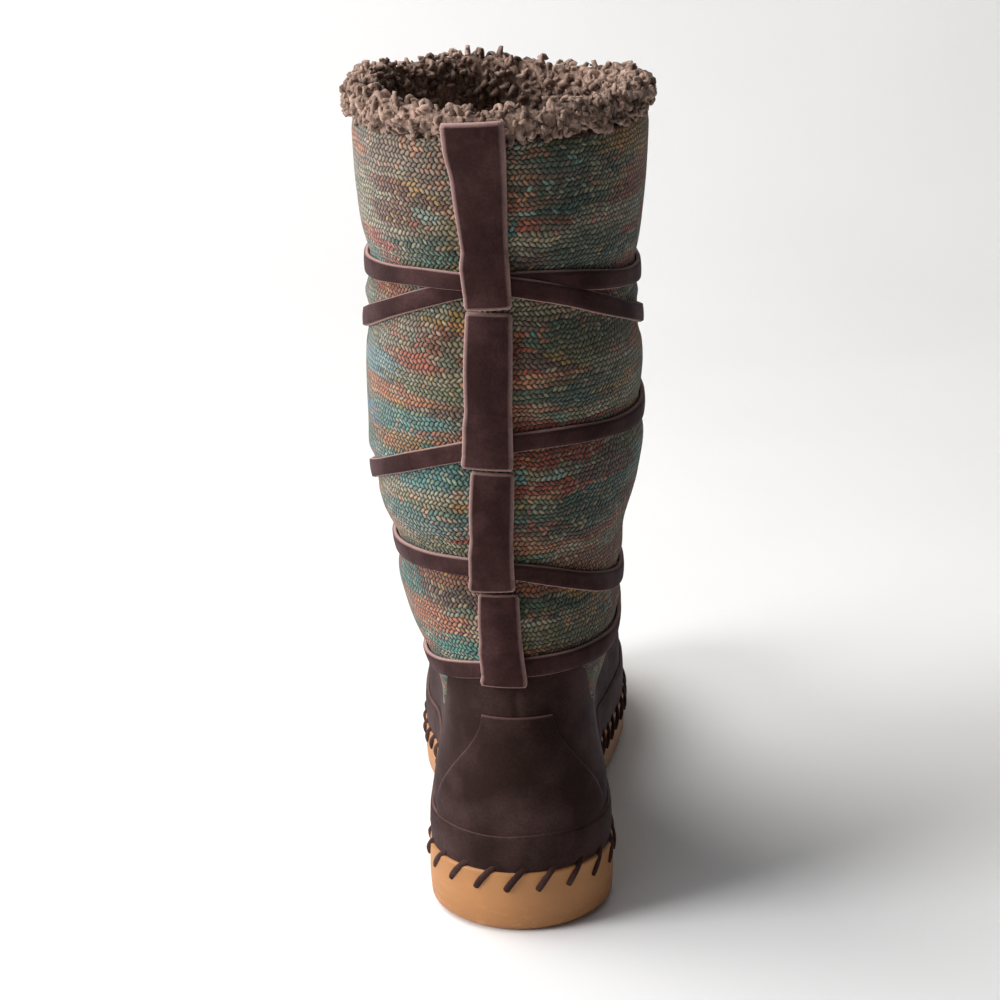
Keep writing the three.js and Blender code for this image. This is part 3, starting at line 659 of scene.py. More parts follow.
def new_group(name, kind, inputs, outputs):
    """A node group with named sockets, given as name, type and default."""
    tree = bpy.data.node_groups.new(name, kind)
    for label, socket, value in inputs:
        made = tree.interface.new_socket(label, in_out="INPUT", socket_type=socket)
        if value is not None:
            made.default_value = value
    for label, socket in outputs:
        tree.interface.new_socket(label, in_out="OUTPUT", socket_type=socket)
    return tree, tree.nodes.new("NodeGroupInput").outputs, tree.nodes.new("NodeGroupOutput").inputs


def nap_group():
    """Suede: brushed patches, fine grain and paler cut edges."""
    tree, given, out = new_group("suede_nap", "ShaderNodeTree", [
        ("Colour", COLOUR, (0.03, 0.015, 0.015, 1)),
        ("Brushed", COLOUR, (0.09, 0.055, 0.06, 1)),
        ("Cut Edge", COLOUR, (0.2, 0.11, 0.1, 1)),
        ("Patch Scale", NUMBER, 32.0),
        ("Grain Scale", NUMBER, 900.0),
        ("Edge", NUMBER, 0.0),
    ], [("Colour", COLOUR), ("Roughness", NUMBER), ("Height", NUMBER)])
    place = own_place(tree)
    patches = remap(tree, noise_value(tree, place, given["Patch Scale"], 3.0, 0.55), 0.4, 0.68, 0.0, 1.0)
    grain = noise_value(tree, place, given["Grain Scale"], 4.0, 0.65)
    fine = noise_value(tree, place, times(tree, given["Grain Scale"], 2.6), 2.0, 0.6)
    body = blend(tree, times(tree, patches, 0.75), given["Colour"], given["Brushed"])
    body = shaded(tree, body, remap(tree, grain, 0.3, 0.7, 0.7, 1.35))
    worn = times(tree, given["Edge"], plus(tree, 0.55, times(tree, grain, 0.6)))
    height = plus(tree, times(tree, grain, 0.7), times(tree, fine, 0.3))
    fill(tree, out, {
        "Colour": blend(tree, calc(tree, "MINIMUM", worn, 1.0), body, given["Cut Edge"]),
        "Roughness": remap(tree, patches, 0.0, 1.0, 0.94, 0.78),
        "Height": plus(tree, height, times(tree, patches, 0.8)),
    })


def fibre_group():
    """Pile: clumped, streaked fibre in two shades."""
    tree, given, out = new_group("pile_fibre", "ShaderNodeTree", [
        ("Root", COLOUR, (0.1, 0.07, 0.055, 1)),
        ("Tip", COLOUR, (0.4, 0.3, 0.26, 1)),
        ("Clump Scale", NUMBER, 120.0),
        ("Streak Scale", NUMBER, 700.0),
    ], [("Colour", COLOUR), ("Height", NUMBER)])
    place = own_place(tree)
    clumps = noise_value(tree, place, given["Clump Scale"], 3.0, 0.6)
    streaks = noise_value(tree, stretched(tree, place, (1.0, 1.0, 0.25)), given["Streak Scale"], 2.0, 0.6)
    shade = plus(tree, times(tree, clumps, 0.65), times(tree, streaks, 0.45))
    fill(tree, out, {
        "Colour": blend(tree, remap(tree, shade, 0.38, 0.72, 0.0, 1.0), given["Root"], given["Tip"]),
        "Height": plus(tree, clumps, times(tree, streaks, 0.5)),
    })


def new_material(name, roughness=0.8, sheen=0.0, sheen_rough=0.5, sheen_tint=(1, 1, 1, 1), specular=0.5):
    """A material's tree and its shader."""
    material = bpy.data.materials.new(name)
    material.use_nodes = True
    tree = material.node_tree
    shader = tree.nodes["Principled BSDF"]
    fill(tree, shader.inputs, {
        "Roughness": roughness, "Sheen Weight": sheen, "Sheen Roughness": sheen_rough,
        "Sheen Tint": sheen_tint, "Specular IOR Level": specular,
    })
    return tree, shader


def raise_surface(tree, shader, height, depth):
    """Gives a shader a relief. depth is in millimetres."""
    bump = node(tree, "ShaderNodeBump", {"Height": height, "Distance": depth * MM})
    fill(tree, shader.inputs, {"Normal": bump.outputs[0]})


def place_group(tree, name, values):
    return node(tree, "ShaderNodeGroup", values, node_tree=bpy.data.node_groups[name]).outputs


def suede_material(name, colour, brushed, edge, patch_scale, depth):
    tree, shader = new_material(name, sheen=0.2, sheen_rough=0.35, sheen_tint=linear("b09aa6"), specular=0.2)
    nap = place_group(tree, "suede_nap", {
        "Colour": colour, "Brushed": brushed, "Cut Edge": edge, "Patch Scale": patch_scale,
        "Edge": node(tree, "ShaderNodeAttribute", attribute_name="cut").outputs["Fac"],
    })
    fill(tree, shader.inputs, {"Base Color": nap["Colour"], "Roughness": nap["Roughness"]})
    raise_surface(tree, shader, nap["Height"], depth)


def pile_material(name, root, tip, clump, depth):
    tree, shader = new_material(name, roughness=0.95, sheen=0.15, specular=0.1)
    values = {"Root": root, "Tip": tip, "Clump Scale": clump, "Streak Scale": 900.0}
    fibre = place_group(tree, "pile_fibre", values)
    fill(tree, shader.inputs, {"Base Color": fibre["Colour"]})
    raise_surface(tree, shader, fibre["Height"], depth)


# Dyed runs of the yarn, in even shares.
YARN = ["8f8468", "94593c", "6c6c48", "a1967c", "4f776b", "6b5040", "b0714c", "86835f", "4f5a42", "a3813f",
        "7a6450", "6f9488", "968b72", "9c4b33", "3d5140", "85765a"]

# Where one colour shows most on the knit: turn round the shaft, lift, reach each way, and colour. Most are
# dyes. The zones on the inner side are darker partly as painted shade, and the mustard at the top of the
# inner side is partly painted warm light.
DYE_AND_PAINTED_LIGHT_ZONES = [
    (-0.16, 0.92, 0.17, 0.15, "958b78"), (-0.19, 0.65, 0.1, 0.05, "8f8a74"),
    (-0.2, 0.965, 0.028, 0.02, "d98460"), (-0.17, 0.86, 0.06, 0.07, "a89c84"),
    (-0.1, 0.88, 0.05, 0.055, "7c4831"), (-0.17, 0.8, 0.035, 0.022, "b5483a"),
    (-0.19, 0.765, 0.025, 0.025, "5f9a90"), (-0.09, 0.8, 0.035, 0.03, "3d5a44"),
    (-0.15, 0.71, 0.05, 0.018, "b35c38"), (-0.12, 0.595, 0.04, 0.022, "b0583c"),
    (-0.19, 0.565, 0.05, 0.035, "86a8ac"), (-0.15, 0.52, 0.08, 0.018, "cb8358"),
    (-0.14, 0.47, 0.09, 0.028, "4d8d86"), (-0.2, 0.455, 0.03, 0.02, "3f86a6"),
    (-0.15, 0.42, 0.04, 0.016, "b06c4c"), (-0.14, 0.375, 0.1, 0.03, "5d9c98"),
    (-0.1, 0.29, 0.1, 0.03, "5f8d84"), (-0.18, 0.25, 0.04, 0.02, "bd7245"),
    (-0.13, 0.09, 0.07, 0.035, "bf6434"), (-0.08, 0.04, 0.05, 0.03, "4b9484"),
    (-0.18, 0.02, 0.03, 0.02, "c76a40"), (0.19, 0.97, 0.07, 0.03, "b0822f"),
    (0.08, 0.92, 0.07, 0.07, "2c4a3a"), (0.17, 0.885, 0.06, 0.02, "8c4726"),
    (0.1, 0.79, 0.06, 0.05, "2e4f3e"), (0.11, 0.71, 0.06, 0.018, "96402a"),
    (0.12, 0.64, 0.09, 0.04, "5e5c38"), (0.09, 0.54, 0.07, 0.04, "3c4a38"),
    (0.09, 0.44, 0.06, 0.018, "7c3a26"), (0.1, 0.3, 0.09, 0.05, "3c5546"),
    (0.1, 0.2, 0.07, 0.03, "8a4c2a"), (0.1, 0.06, 0.08, 0.04, "5c5a36"),
]


def dye_and_painted_light_group():
    """One zone's colour blended into the yarn within an oval place on the knit. The colour is a dye, and in
    some zones also painted shade and painted warm light.
    """
    tree, given, out = new_group("dye_and_painted_light_zone", "ShaderNodeTree", [
        ("Colour", COLOUR, (0.2, 0.15, 0.1, 1)),
        ("Place", VECTOR, (0.0, 0.0, 0.0)),
        ("Centre", VECTOR, (0.0, 0.0, 0.0)),
        ("Reach", VECTOR, (1.0, 1.0, 1.0)),
        ("Dye And Painted Light", COLOUR, (0.5, 0.2, 0.1, 1)),
    ], [("Colour", COLOUR)])
    away = vector(tree, "DIVIDE", vector(tree, "SUBTRACT", given["Place"], given["Centre"]), given["Reach"])
    far = node(tree, "ShaderNodeVectorMath", {0: away}, operation="LENGTH").outputs["Value"]
    share = remap(tree, far, 0.75, 1.15, 0.78, 0.0)
    fill(tree, out, {"Colour": blend(tree, share, given["Colour"], given["Dye And Painted Light"])})


def yarn_runs(tree, place, channel, codes):
    """A dye for each cell of a cell pattern."""
    cells = node(tree, "ShaderNodeTexVoronoi", {"Vector": place, "Scale": 1.0, "Randomness": 1.0})
    pick = node(tree, "ShaderNodeSeparateColor", {0: cells.outputs["Color"]}).outputs[channel]
    return ramp(tree, pick, [(i / len(codes), linear(code)) for i, code in enumerate(codes)], "CONSTANT")


def stitch_side(tree, value, steepness):
    return times(tree, calc(tree, "POWER", calc(tree, "ABSOLUTE", value), 2.0), steepness)


def knit_material(row_pitch, stitch_pitch, run_length, run_height):
    """Space-dyed knit: rows of slanted stitches, each row's colour changing in long runs.

    The piece's own map gives places on the knit in decimetres. Sizes are in millimetres.
    """
    tree, shader = new_material("space_dyed_knit", roughness=0.92, sheen=0.3, specular=0.2)
    # Rows wander a little. Each stitch is a bead that leans one way in even rows, the other way in odd ones.
    place = node(tree, "ShaderNodeUVMap", uv_map="surface").outputs[0]
    wander = node(tree, "ShaderNodeTexNoise", {"Vector": place, "Scale": 9.0, "Detail": 1.0}).outputs["Color"]
    drift = scaled(tree, vector(tree, "SUBTRACT", wander, (0.5, 0.5, 0.5)), 0.035)
    place = vector(tree, "ADD", place, drift)
    split = node(tree, "ShaderNodeSeparateXYZ", {0: place}).outputs
    across = calc(tree, "DIVIDE", split[0], stitch_pitch / 100)
    upward = calc(tree, "DIVIDE", split[1], row_pitch / 100)
    row = calc(tree, "FLOOR", upward)
    odd = calc(tree, "MODULO", row, 2.0)
    mid = less(tree, calc(tree, "FRACT", upward), 0.5)
    lean = times(tree, less(tree, times(tree, odd, 2.0), 1.0), 0.5)
    across = plus(tree, plus(tree, across, times(tree, lean, mid)), times(tree, odd, 0.5))
    side = less(tree, calc(tree, "FRACT", across), 0.5)
    bead = plus(tree, stitch_side(tree, side, 4.2), stitch_side(tree, mid, 3.0))
    bead = calc(tree, "POWER", calc(tree, "MAXIMUM", less(tree, 1.0, bead), 0.0), 0.6)
    height = plus(tree, bead, times(tree, noise_value(tree, place, 160.0), 0.35))

    # Each row starts its runs at a place of its own, and some stitches show another strand's dye.
    own = node(tree, "ShaderNodeTexWhiteNoise", {"W": row}, noise_dimensions="1D").outputs["Value"]
    shifted = plus(tree, split[0], times(tree, own, run_length / 280))
    turned = calc(tree, "DIVIDE", shifted, run_length / 100)
    runs = combine(tree, turned, times(tree, row, row_pitch / run_height))
    run = yarn_runs(tree, runs, 0, YARN)
    flecks = yarn_runs(tree, vector(tree, "MULTIPLY", runs, (2.3, 1.9, 1.0)), 1, YARN[::-1])
    each = combine(tree, calc(tree, "FLOOR", across), row)
    chance = node(tree, "ShaderNodeTexWhiteNoise", {"Vector": each}, noise_dimensions="3D").outputs["Value"]
    marl = times(tree, calc(tree, "GREATER_THAN", chance, 0.68), 0.55)

    # Places where one zone colour shows most, with ragged ends: dyes, and on the inner side also painted
    # shade and painted warm light.
    ragged = times(tree, less(tree, own, 0.5), 0.05)
    zone = node(tree, "ShaderNodeUVMap", uv_map="zones").outputs[0]
    zone = vector(tree, "ADD", zone, combine(tree, ragged))
    for turn, lift, reach, rise, code in DYE_AND_PAINTED_LIGHT_ZONES:
        run = place_group(tree, "dye_and_painted_light_zone", {
            "Colour": run, "Place": zone, "Centre": (turn % 1, lift, 0.0), "Reach": (reach, rise, 1.0),
            "Dye And Painted Light": linear(code),
        })["Colour"]
    # Each stitch's tone differs at random, and the gaps between the stitch beads are darkened as painted
    # shade.
    light = times(tree, remap(tree, chance, 0.0, 1.0, 0.5, 1.2), remap(tree, bead, 0.0, 1.0, 0.08, 1.05))
    fill(tree, shader.inputs, {"Base Color": shaded(tree, blend(tree, marl, run, flecks), light)})
    raise_surface(tree, shader, height, 0.9)


def rubber_material(name, colour, dark):
    """Tan cup-sole rubber: faint clouds, painted shade in patches along the lower edge, and fine pores."""
    tree, shader = new_material(name, roughness=0.5, specular=0.4)
    place = own_place(tree)
    clouds = noise_value(tree, place, 26.0, 4.0, 0.6)
    pores = noise_value(tree, place, 1500.0, 3.0, 0.6)
    # Painted shade in mottled patches darkens the lower edge: full below 2 millimetres up, fading out by 14.
    height = node(tree, "ShaderNodeSeparateXYZ", {0: place}).outputs[2]
    low = remap(tree, height, 0.002, 0.014, 1.0, 0.0)
    mottle = noise_value(tree, stretched(tree, place, (1, 1, 3)), 140.0, 5.0, 0.7)
    painted_shade = times(tree, low, calc(tree, "GREATER_THAN", mottle, 0.42))
    body = blend(tree, times(tree, remap(tree, clouds, 0.3, 0.7, 0.0, 1.0), 0.35), colour, dark)
    fill(tree, shader.inputs, {
        "Base Color": blend(tree, times(tree, painted_shade, 0.45), body, dark),
        "Roughness": remap(tree, mottle, 0.3, 0.7, 0.42, 0.62),
    })
    raise_surface(tree, shader, plus(tree, pores, times(tree, clouds, 2.0)), 0.08)


def weave_tree(name, inputs):
    """A geometry tree with a mesh in and a mesh out, and named sizes."""
    wanted = [("Geometry", "NodeSocketGeometry", None)] + inputs
    return new_group(name, "GeometryNodeTree", wanted, [("Geometry", "NodeSocketGeometry")])


def baked(obj):
    """The mesh that an object's modifiers make."""
    return bpy.data.meshes.new_from_object(obj.evaluated_get(bpy.context.evaluated_depsgraph_get()))


def finished(source, tree, values, name):
    """Runs a geometry tree on an object and keeps the result as a plain mesh of its own."""
    modifier = source.modifiers.new("build", "NODES")
    modifier.node_group = tree
    sockets = {item.name: item.identifier for item in tree.interface.items_tree if item.in_out == "INPUT"}
    for key, value in values.items():
        modifier[sockets[key]] = value
    mesh = baked(source)
    mesh.name = name
    made = linked(name, mesh)
    bpy.data.objects.remove(source)
    return made


def strand_points(tree, start, start_pull, end_pull, end, steps):
    """A short bent curve in an instance's own axes."""
    return node(tree, "GeometryNodeCurvePrimitiveBezierSegment", {
        "Resolution": steps, "Start": start, "Start Handle": start_pull, "End Handle": end_pull, "End": end,
    }, mode="POSITION").outputs[0]


def tube(tree, curve, radius, sides, scale=1.0):
    """A closed tube along a curve."""
    values = {"Resolution": sides, "Radius": radius}
    ring = node(tree, "GeometryNodeCurvePrimitiveCircle", values, mode="RADIUS")
    return node(tree, "GeometryNodeCurveToMesh", {
        "Curve": curve, "Profile Curve": ring.outputs[0], "Scale": scale, "Fill Caps": True,
    }).outputs[0]


def hand_over(tree, shapes, given, out):
    """Ends a tree: its instances made real, shaded smooth and given their material."""
    real = node(tree, "GeometryNodeRealizeInstances", {"Geometry": shapes}).outputs[0]
    real = node(tree, "GeometryNodeSetShadeSmooth", {"Geometry": real}).outputs[0]
    values = {"Geometry": real, "Material": given["Material"]}
    fill(tree, out, {"Geometry": node(tree, "GeometryNodeSetMaterial", values).outputs[0]})


def random_value(tree, low, high, seed):
    values = {2: low, 3: high, "Seed": seed}
    return node(tree, "FunctionNodeRandomValue", values, data_type="FLOAT").outputs[1]


def curl_tree():
    """Sets small tapered curls of pile over a surface, combed down outside and loose on top."""
    tree, given, out = weave_tree("pile_curls", [
        ("Density", NUMBER, 200000.0),
        ("Spacing", NUMBER, 0.002),
        ("Length", NUMBER, 0.008),
        ("Thickness", NUMBER, 0.0015),
        ("Comb", NUMBER, 0.75),
        ("Seed", "NodeSocketInt", 4),
        ("Material", "NodeSocketMaterial", None),
    ])
    spots = node(tree, "GeometryNodeDistributePointsOnFaces", {
        "Mesh": given["Geometry"], "Distance Min": given["Spacing"], "Density Max": given["Density"],
        "Seed": given["Seed"],
    }, distribute_method="POISSON")
    loose = node(tree, "FunctionNodeRandomValue", {
        0: (-1.0, -1.0, -1.0), 1: (1.0, 1.0, 1.0), "Seed": given["Seed"],
    }, data_type="FLOAT_VECTOR").outputs[0]
    down = scaled(tree, (0.0, 0.0, -1.0), given["Comb"])
    lie = vector(tree, "ADD", scaled(tree, loose, 0.42), down)
    lie = vector(tree, "ADD", lie, spots.outputs["Normal"])
    turned = node(tree, "FunctionNodeAlignRotationToVector", {"Vector": lie}, axis="Z").outputs[0]
    spin = random_value(tree, 0.0, TURN, 9)
    twist = node(tree, "FunctionNodeAxisAngleToRotation", {"Axis": (0, 0, 1), "Angle": spin}).outputs[0]
    values = {0: turned, 1: twist}
    turned = node(tree, "FunctionNodeRotateRotation", values, rotation_space="LOCAL").outputs[0]
    curl = strand_points(tree, (0, 0, -0.15), (0.55, 0, 0.2), (0.6, 0.4, 0.9), (-0.15, 0.4, 0.4), 5)
    share = node(tree, "GeometryNodeSplineParameter").outputs["Factor"]
    taper = less(tree, 1.0, times(tree, calc(tree, "POWER", share, 2.0), 0.5))
    thick = node(tree, "GeometryNodeSetCurveRadius", {"Curve": curl, "Radius": taper}).outputs[0]
    strand = tube(tree, thick, calc(tree, "DIVIDE", given["Thickness"], given["Length"]), 4, taper)
    size = times(tree, random_value(tree, 0.65, 1.2, 21), given["Length"])
    placed = node(tree, "GeometryNodeInstanceOnPoints", {
        "Points": spots.outputs["Points"], "Instance": strand, "Rotation": turned,
        "Scale": combine(tree, size, size, size),
    }).outputs[0]
    joined = node(tree, "GeometryNodeJoinGeometry", {0: placed})
    fill(tree, joined.inputs, {0: given["Geometry"]})
    hand_over(tree, joined.outputs[0], given, out)
    return tree


def lacing_tree():
    """Repeats one slanted thong stitch along a closed path."""
    tree, given, out = weave_tree("whip_lacing", [
        ("Count", "NodeSocketInt", 52),
        ("Thickness", NUMBER, 0.0014),
        ("Slant", NUMBER, 0.0052),
        ("Drop", NUMBER, 0.0072),
        ("Rise", NUMBER, 0.0036),
        ("Material", "NodeSocketMaterial", None),
    ])
    path = node(tree, "GeometryNodeMeshToCurve", {"Mesh": given["Geometry"]}).outputs[0]
    spots = node(tree, "GeometryNodeCurveToPoints", {"Curve": path, "Count": given["Count"]}, mode="COUNT")
    flat = vector(tree, "MULTIPLY", spots.outputs["Tangent"], (1.0, 1.0, 0.0))
    turned = node(tree, "FunctionNodeAxesToRotation", {0: (0.0, 0.0, 1.0), 1: flat},
                  primary_axis="Z", secondary_axis="X").outputs[0]
    # A stitch's two ends and its handles, each along the rim, out from it and up.
    slant, rise = given["Slant"], given["Rise"]
    back, fall = times(tree, slant, -1.0), times(tree, given["Drop"], -1.0)
    stitch = strand_points(
        tree,
        combine(tree, slant, 0.0026, rise),
        combine(tree, times(tree, slant, 0.5), -0.0020, times(tree, rise, 0.7)),
        combine(tree, times(tree, back, 0.55), -0.0036, times(tree, fall, 0.35)),
        combine(tree, back, -0.0020, fall), 9,
    )
    placed = node(tree, "GeometryNodeInstanceOnPoints", {
        "Points": spots.outputs["Points"], "Instance": tube(tree, stitch, given["Thickness"], 8),
        "Rotation": turned,
    }).outputs[0]
    hand_over(tree, placed, given, out)
    return tree


def finish_piece(obj, slot_name, *nodes):
    """Hands a finished piece to the frame."""
    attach(obj, "root")
    if nodes:
        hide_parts(*nodes)


# Sizes and colours that a user would change.


class KnitSettings(bpy.types.PropertyGroup):
    row_pitch: bpy.props.FloatProperty(
        name="Row pitch", description="Height of one knitted row, in millimetres",
        default=1.9, min=1.0, max=6.0)
    stitch_pitch: bpy.props.FloatProperty(
        name="Stitch pitch", description="Width of one stitch, in millimetres",
        default=2.3, min=1.0, max=8.0)
    run_length: bpy.props.FloatProperty(
        name="Run length", description="Length of one dyed run, in millimetres",
        default=36.0, min=5.0, max=200.0)
    run_height: bpy.props.FloatProperty(
        name="Run height", description="Height of rows in one colour, in millimetres",
        default=7.5, min=2.0, max=60.0)


SHADE = {"subtype": "COLOR", "size": 4, "min": 0, "max": 1}


class SuedeSettings(bpy.types.PropertyGroup):
    foot: bpy.props.FloatVectorProperty(
        name="Foot suede", description="Colour of the suede foot", default=linear("25140f"), **SHADE)
    strap: bpy.props.FloatVectorProperty(
        name="Strap suede", description="Colour of the straps and loops", default=linear("2a1513"), **SHADE)
    thickness: bpy.props.FloatProperty(
        name="Thickness", description="Thickness of the foot's suede, in millimetres",
        default=1.1, min=0.5, max=3.0)


class PileSettings(bpy.types.PropertyGroup):
    tip: bpy.props.FloatVectorProperty(
        name="Tips", description="Colour of the pile's tips", default=linear("bd9f8e"), **SHADE)
    root: bpy.props.FloatVectorProperty(
        name="Roots", description="Colour of the pile's roots", default=linear("3a271d"), **SHADE)
    length: bpy.props.FloatProperty(
        name="Curl length", description="Length of a curl of pile", unit="LENGTH",
        default=0.0042, min=0.001, max=0.03)
    spacing: bpy.props.FloatProperty(
        name="Curl spacing", description="Least distance between two curls", unit="LENGTH",
        default=0.00205, min=0.001, max=0.02)


class SoleSettings(bpy.types.PropertyGroup):
    colour: bpy.props.FloatVectorProperty(
        name="Rubber", description="Colour of the cup sole", default=linear("b17b4a"), **SHADE)
    stitches: bpy.props.IntProperty(
        name="Lacing stitches", description="Number of thong stitches round the sole",
        default=52, min=10, max=200)
    thong: bpy.props.FloatProperty(
        name="Thong radius", description="Half the thickness of the lacing", unit="LENGTH",
        default=0.0014, min=0.0005, max=0.004)


def settings():
    scene = bpy.context.scene
    return scene.mukluk_knit, scene.mukluk_suede, scene.mukluk_pile, scene.mukluk_sole


class BuildOperator(bpy.types.Operator):
    """Shared form of the boot's build steps."""

    bl_idname = "mukluk.build_step"
    bl_label = "Build step"
    bl_options = {"REGISTER", "UNDO"}

    def execute(self, context):
        self.build()
        return {"FINISHED"}


class MUKLUK_OT_materials(BuildOperator):
    """Makes the boot's shared materials"""

    bl_idname = "mukluk.materials"
    bl_label = "Materials"

    def build(self):
        knit, suede, pile, sole = settings()
        nap_group()
        fibre_group()
        dye_and_painted_light_group()
        knit_material(knit.row_pitch, knit.stitch_pitch, knit.run_length, knit.run_height)
        for name, colour, brushed, edge, patch_scale, depth in (
            ("foot_suede", tuple(suede.foot), "432e2b", "6e524c", 34.0, 0.3),
            ("wound_suede", tuple(suede.strap), "432827", "bd9992", 60.0, 0.25),
            ("thong_leather", linear("2e1b17"), "4a302a", "4a302a", 90.0, 0.2),
        ):
            suede_material(name, colour, linear(brushed), linear(edge), patch_scale, depth)
        pile_material("cuff_pile", tuple(pile.root), tuple(pile.tip), 150.0, 0.6)
        pile_material("lining_pile", linear("55402f"), linear("8f7560"), 260.0, 2.4)
        rubber_material("tan_rubber", tuple(sole.colour), linear("8a5a30"))


class MUKLUK_OT_knit_shaft(BuildOperator):
    """Builds the knitted shaft with its pile lining"""

    bl_idname = "mukluk.knit_shaft"
    bl_label = "Knit shaft"

    def build(self):
        around, high, low, start = 260, 150, 46, 30.0
        phi = np.linspace(0, TURN, around, endpoint=False)[None, :]
        level = np.linspace(start, COLLAR_HEIGHT, high)[:, None]
        back = np.linspace(COLLAR_HEIGHT, start, low)[:, None]
        outer = over_upper(phi, level, knit_relief(phi, level, upper_point(phi, level)))
        inner = over_upper(phi, back, -WALL)
        inner[0, :, 2] = outer[-1, :, 2]
        points = np.concatenate([outer, inner])
        turns = np.linspace(0, 1, around + 1)[None, :]
        lifts = (np.concatenate([level, back]) - ANKLE_HEIGHT) / (COLLAR_HEIGHT - ANKLE_HEIGHT)
        zones = np.stack(np.broadcast_arrays(turns, lifts), axis=-1)
        shaft = grid_object("knit_shaft", points, ["space_dyed_knit", "lining_pile"],
                            maps={"surface": arc_map(points), "zones": zones}, second_from=high - 1)
        finish_piece(shaft, "knit", "upper")


class MUKLUK_OT_suede_foot(BuildOperator):
    """Builds the suede foot, whose top edge rises at the heel and the vamp"""

    bl_idname = "mukluk.suede_foot"
    bl_label = "Suede foot"

    def build(self):
        thick = settings()[1].thickness
        phi = np.linspace(0, TURN, 300, endpoint=False)
        top = suede_level(phi)
        start, inside, seam_depth, seam_half = 2.4, 0.06, 0.55, 0.03
        level = (LOWEST + start) + (top - LOWEST - start)[None, :] * spread(64, 0.006)[:, None]
        # Creases fade out under the top edge, and a seam runs up the heel.
        relief = suede_relief(phi, level) * smooth((top[None, :] - level + 3) / 6)
        seam = (phi + math.pi) % TURN - math.pi
        relief = relief - seam_depth * np.exp(-((seam / seam_half) ** 2)) * smooth((level - 60) / 10)
        foot = band_object("suede_foot", phi, level, relief + thick, relief + inside, thick * EDGE_ROUND)
        finish_piece(foot, "suede")


class MUKLUK_OT_rand_and_counter(BuildOperator):
    """Builds the rand round the foot and the heel counter"""

    bl_idname = "mukluk.rand_and_counter"
    bl_label = "Rand and counter"

    def build(self):
        phi = np.linspace(0, TURN, 300, endpoint=False)[None, :]
        step = spread(12, 0.045)[:, None]
        wave = 0.35 * np.sin(5 * phi + 0.8) + 0.25 * np.sin(11 * phi)
        below, outside, inside, swell, round_off = 1.8, 2.55, 1.2, 0.5, 0.8
        level = RIM_BACK - below + (RAND_HEIGHT + below + wave) * step
        high = outside + swell * np.sin(math.pi * step)
        rand = band_object("suede_rand", phi, level, high, inside, round_off)
        finish_piece(rand, "suede", "rand")

        foot_width, top_width, height, overlap, thinner, widening = 76.0, 26.0, 49.6, 3, 0.15, 1.12
        rows = spread(40, 0.016)
        level = RIM_BACK + RAND_HEIGHT - overlap + height * (1 - rows)
        half = (top_width + (foot_width - top_width) * smooth(rows * widening)) / 2
        phi, level = band_grid(np.zeros_like(level), level, half, spread(44, 0.014))
        inside, outside = 1.15, 2.25 - thinner * rows[:, None]
        relief = suede_relief(phi, level)
        counter = shell_object("heel_counter_patch", phi, level, inside, outside, "foot_suede", relief)
        finish_piece(counter, "suede", "heel_counter")


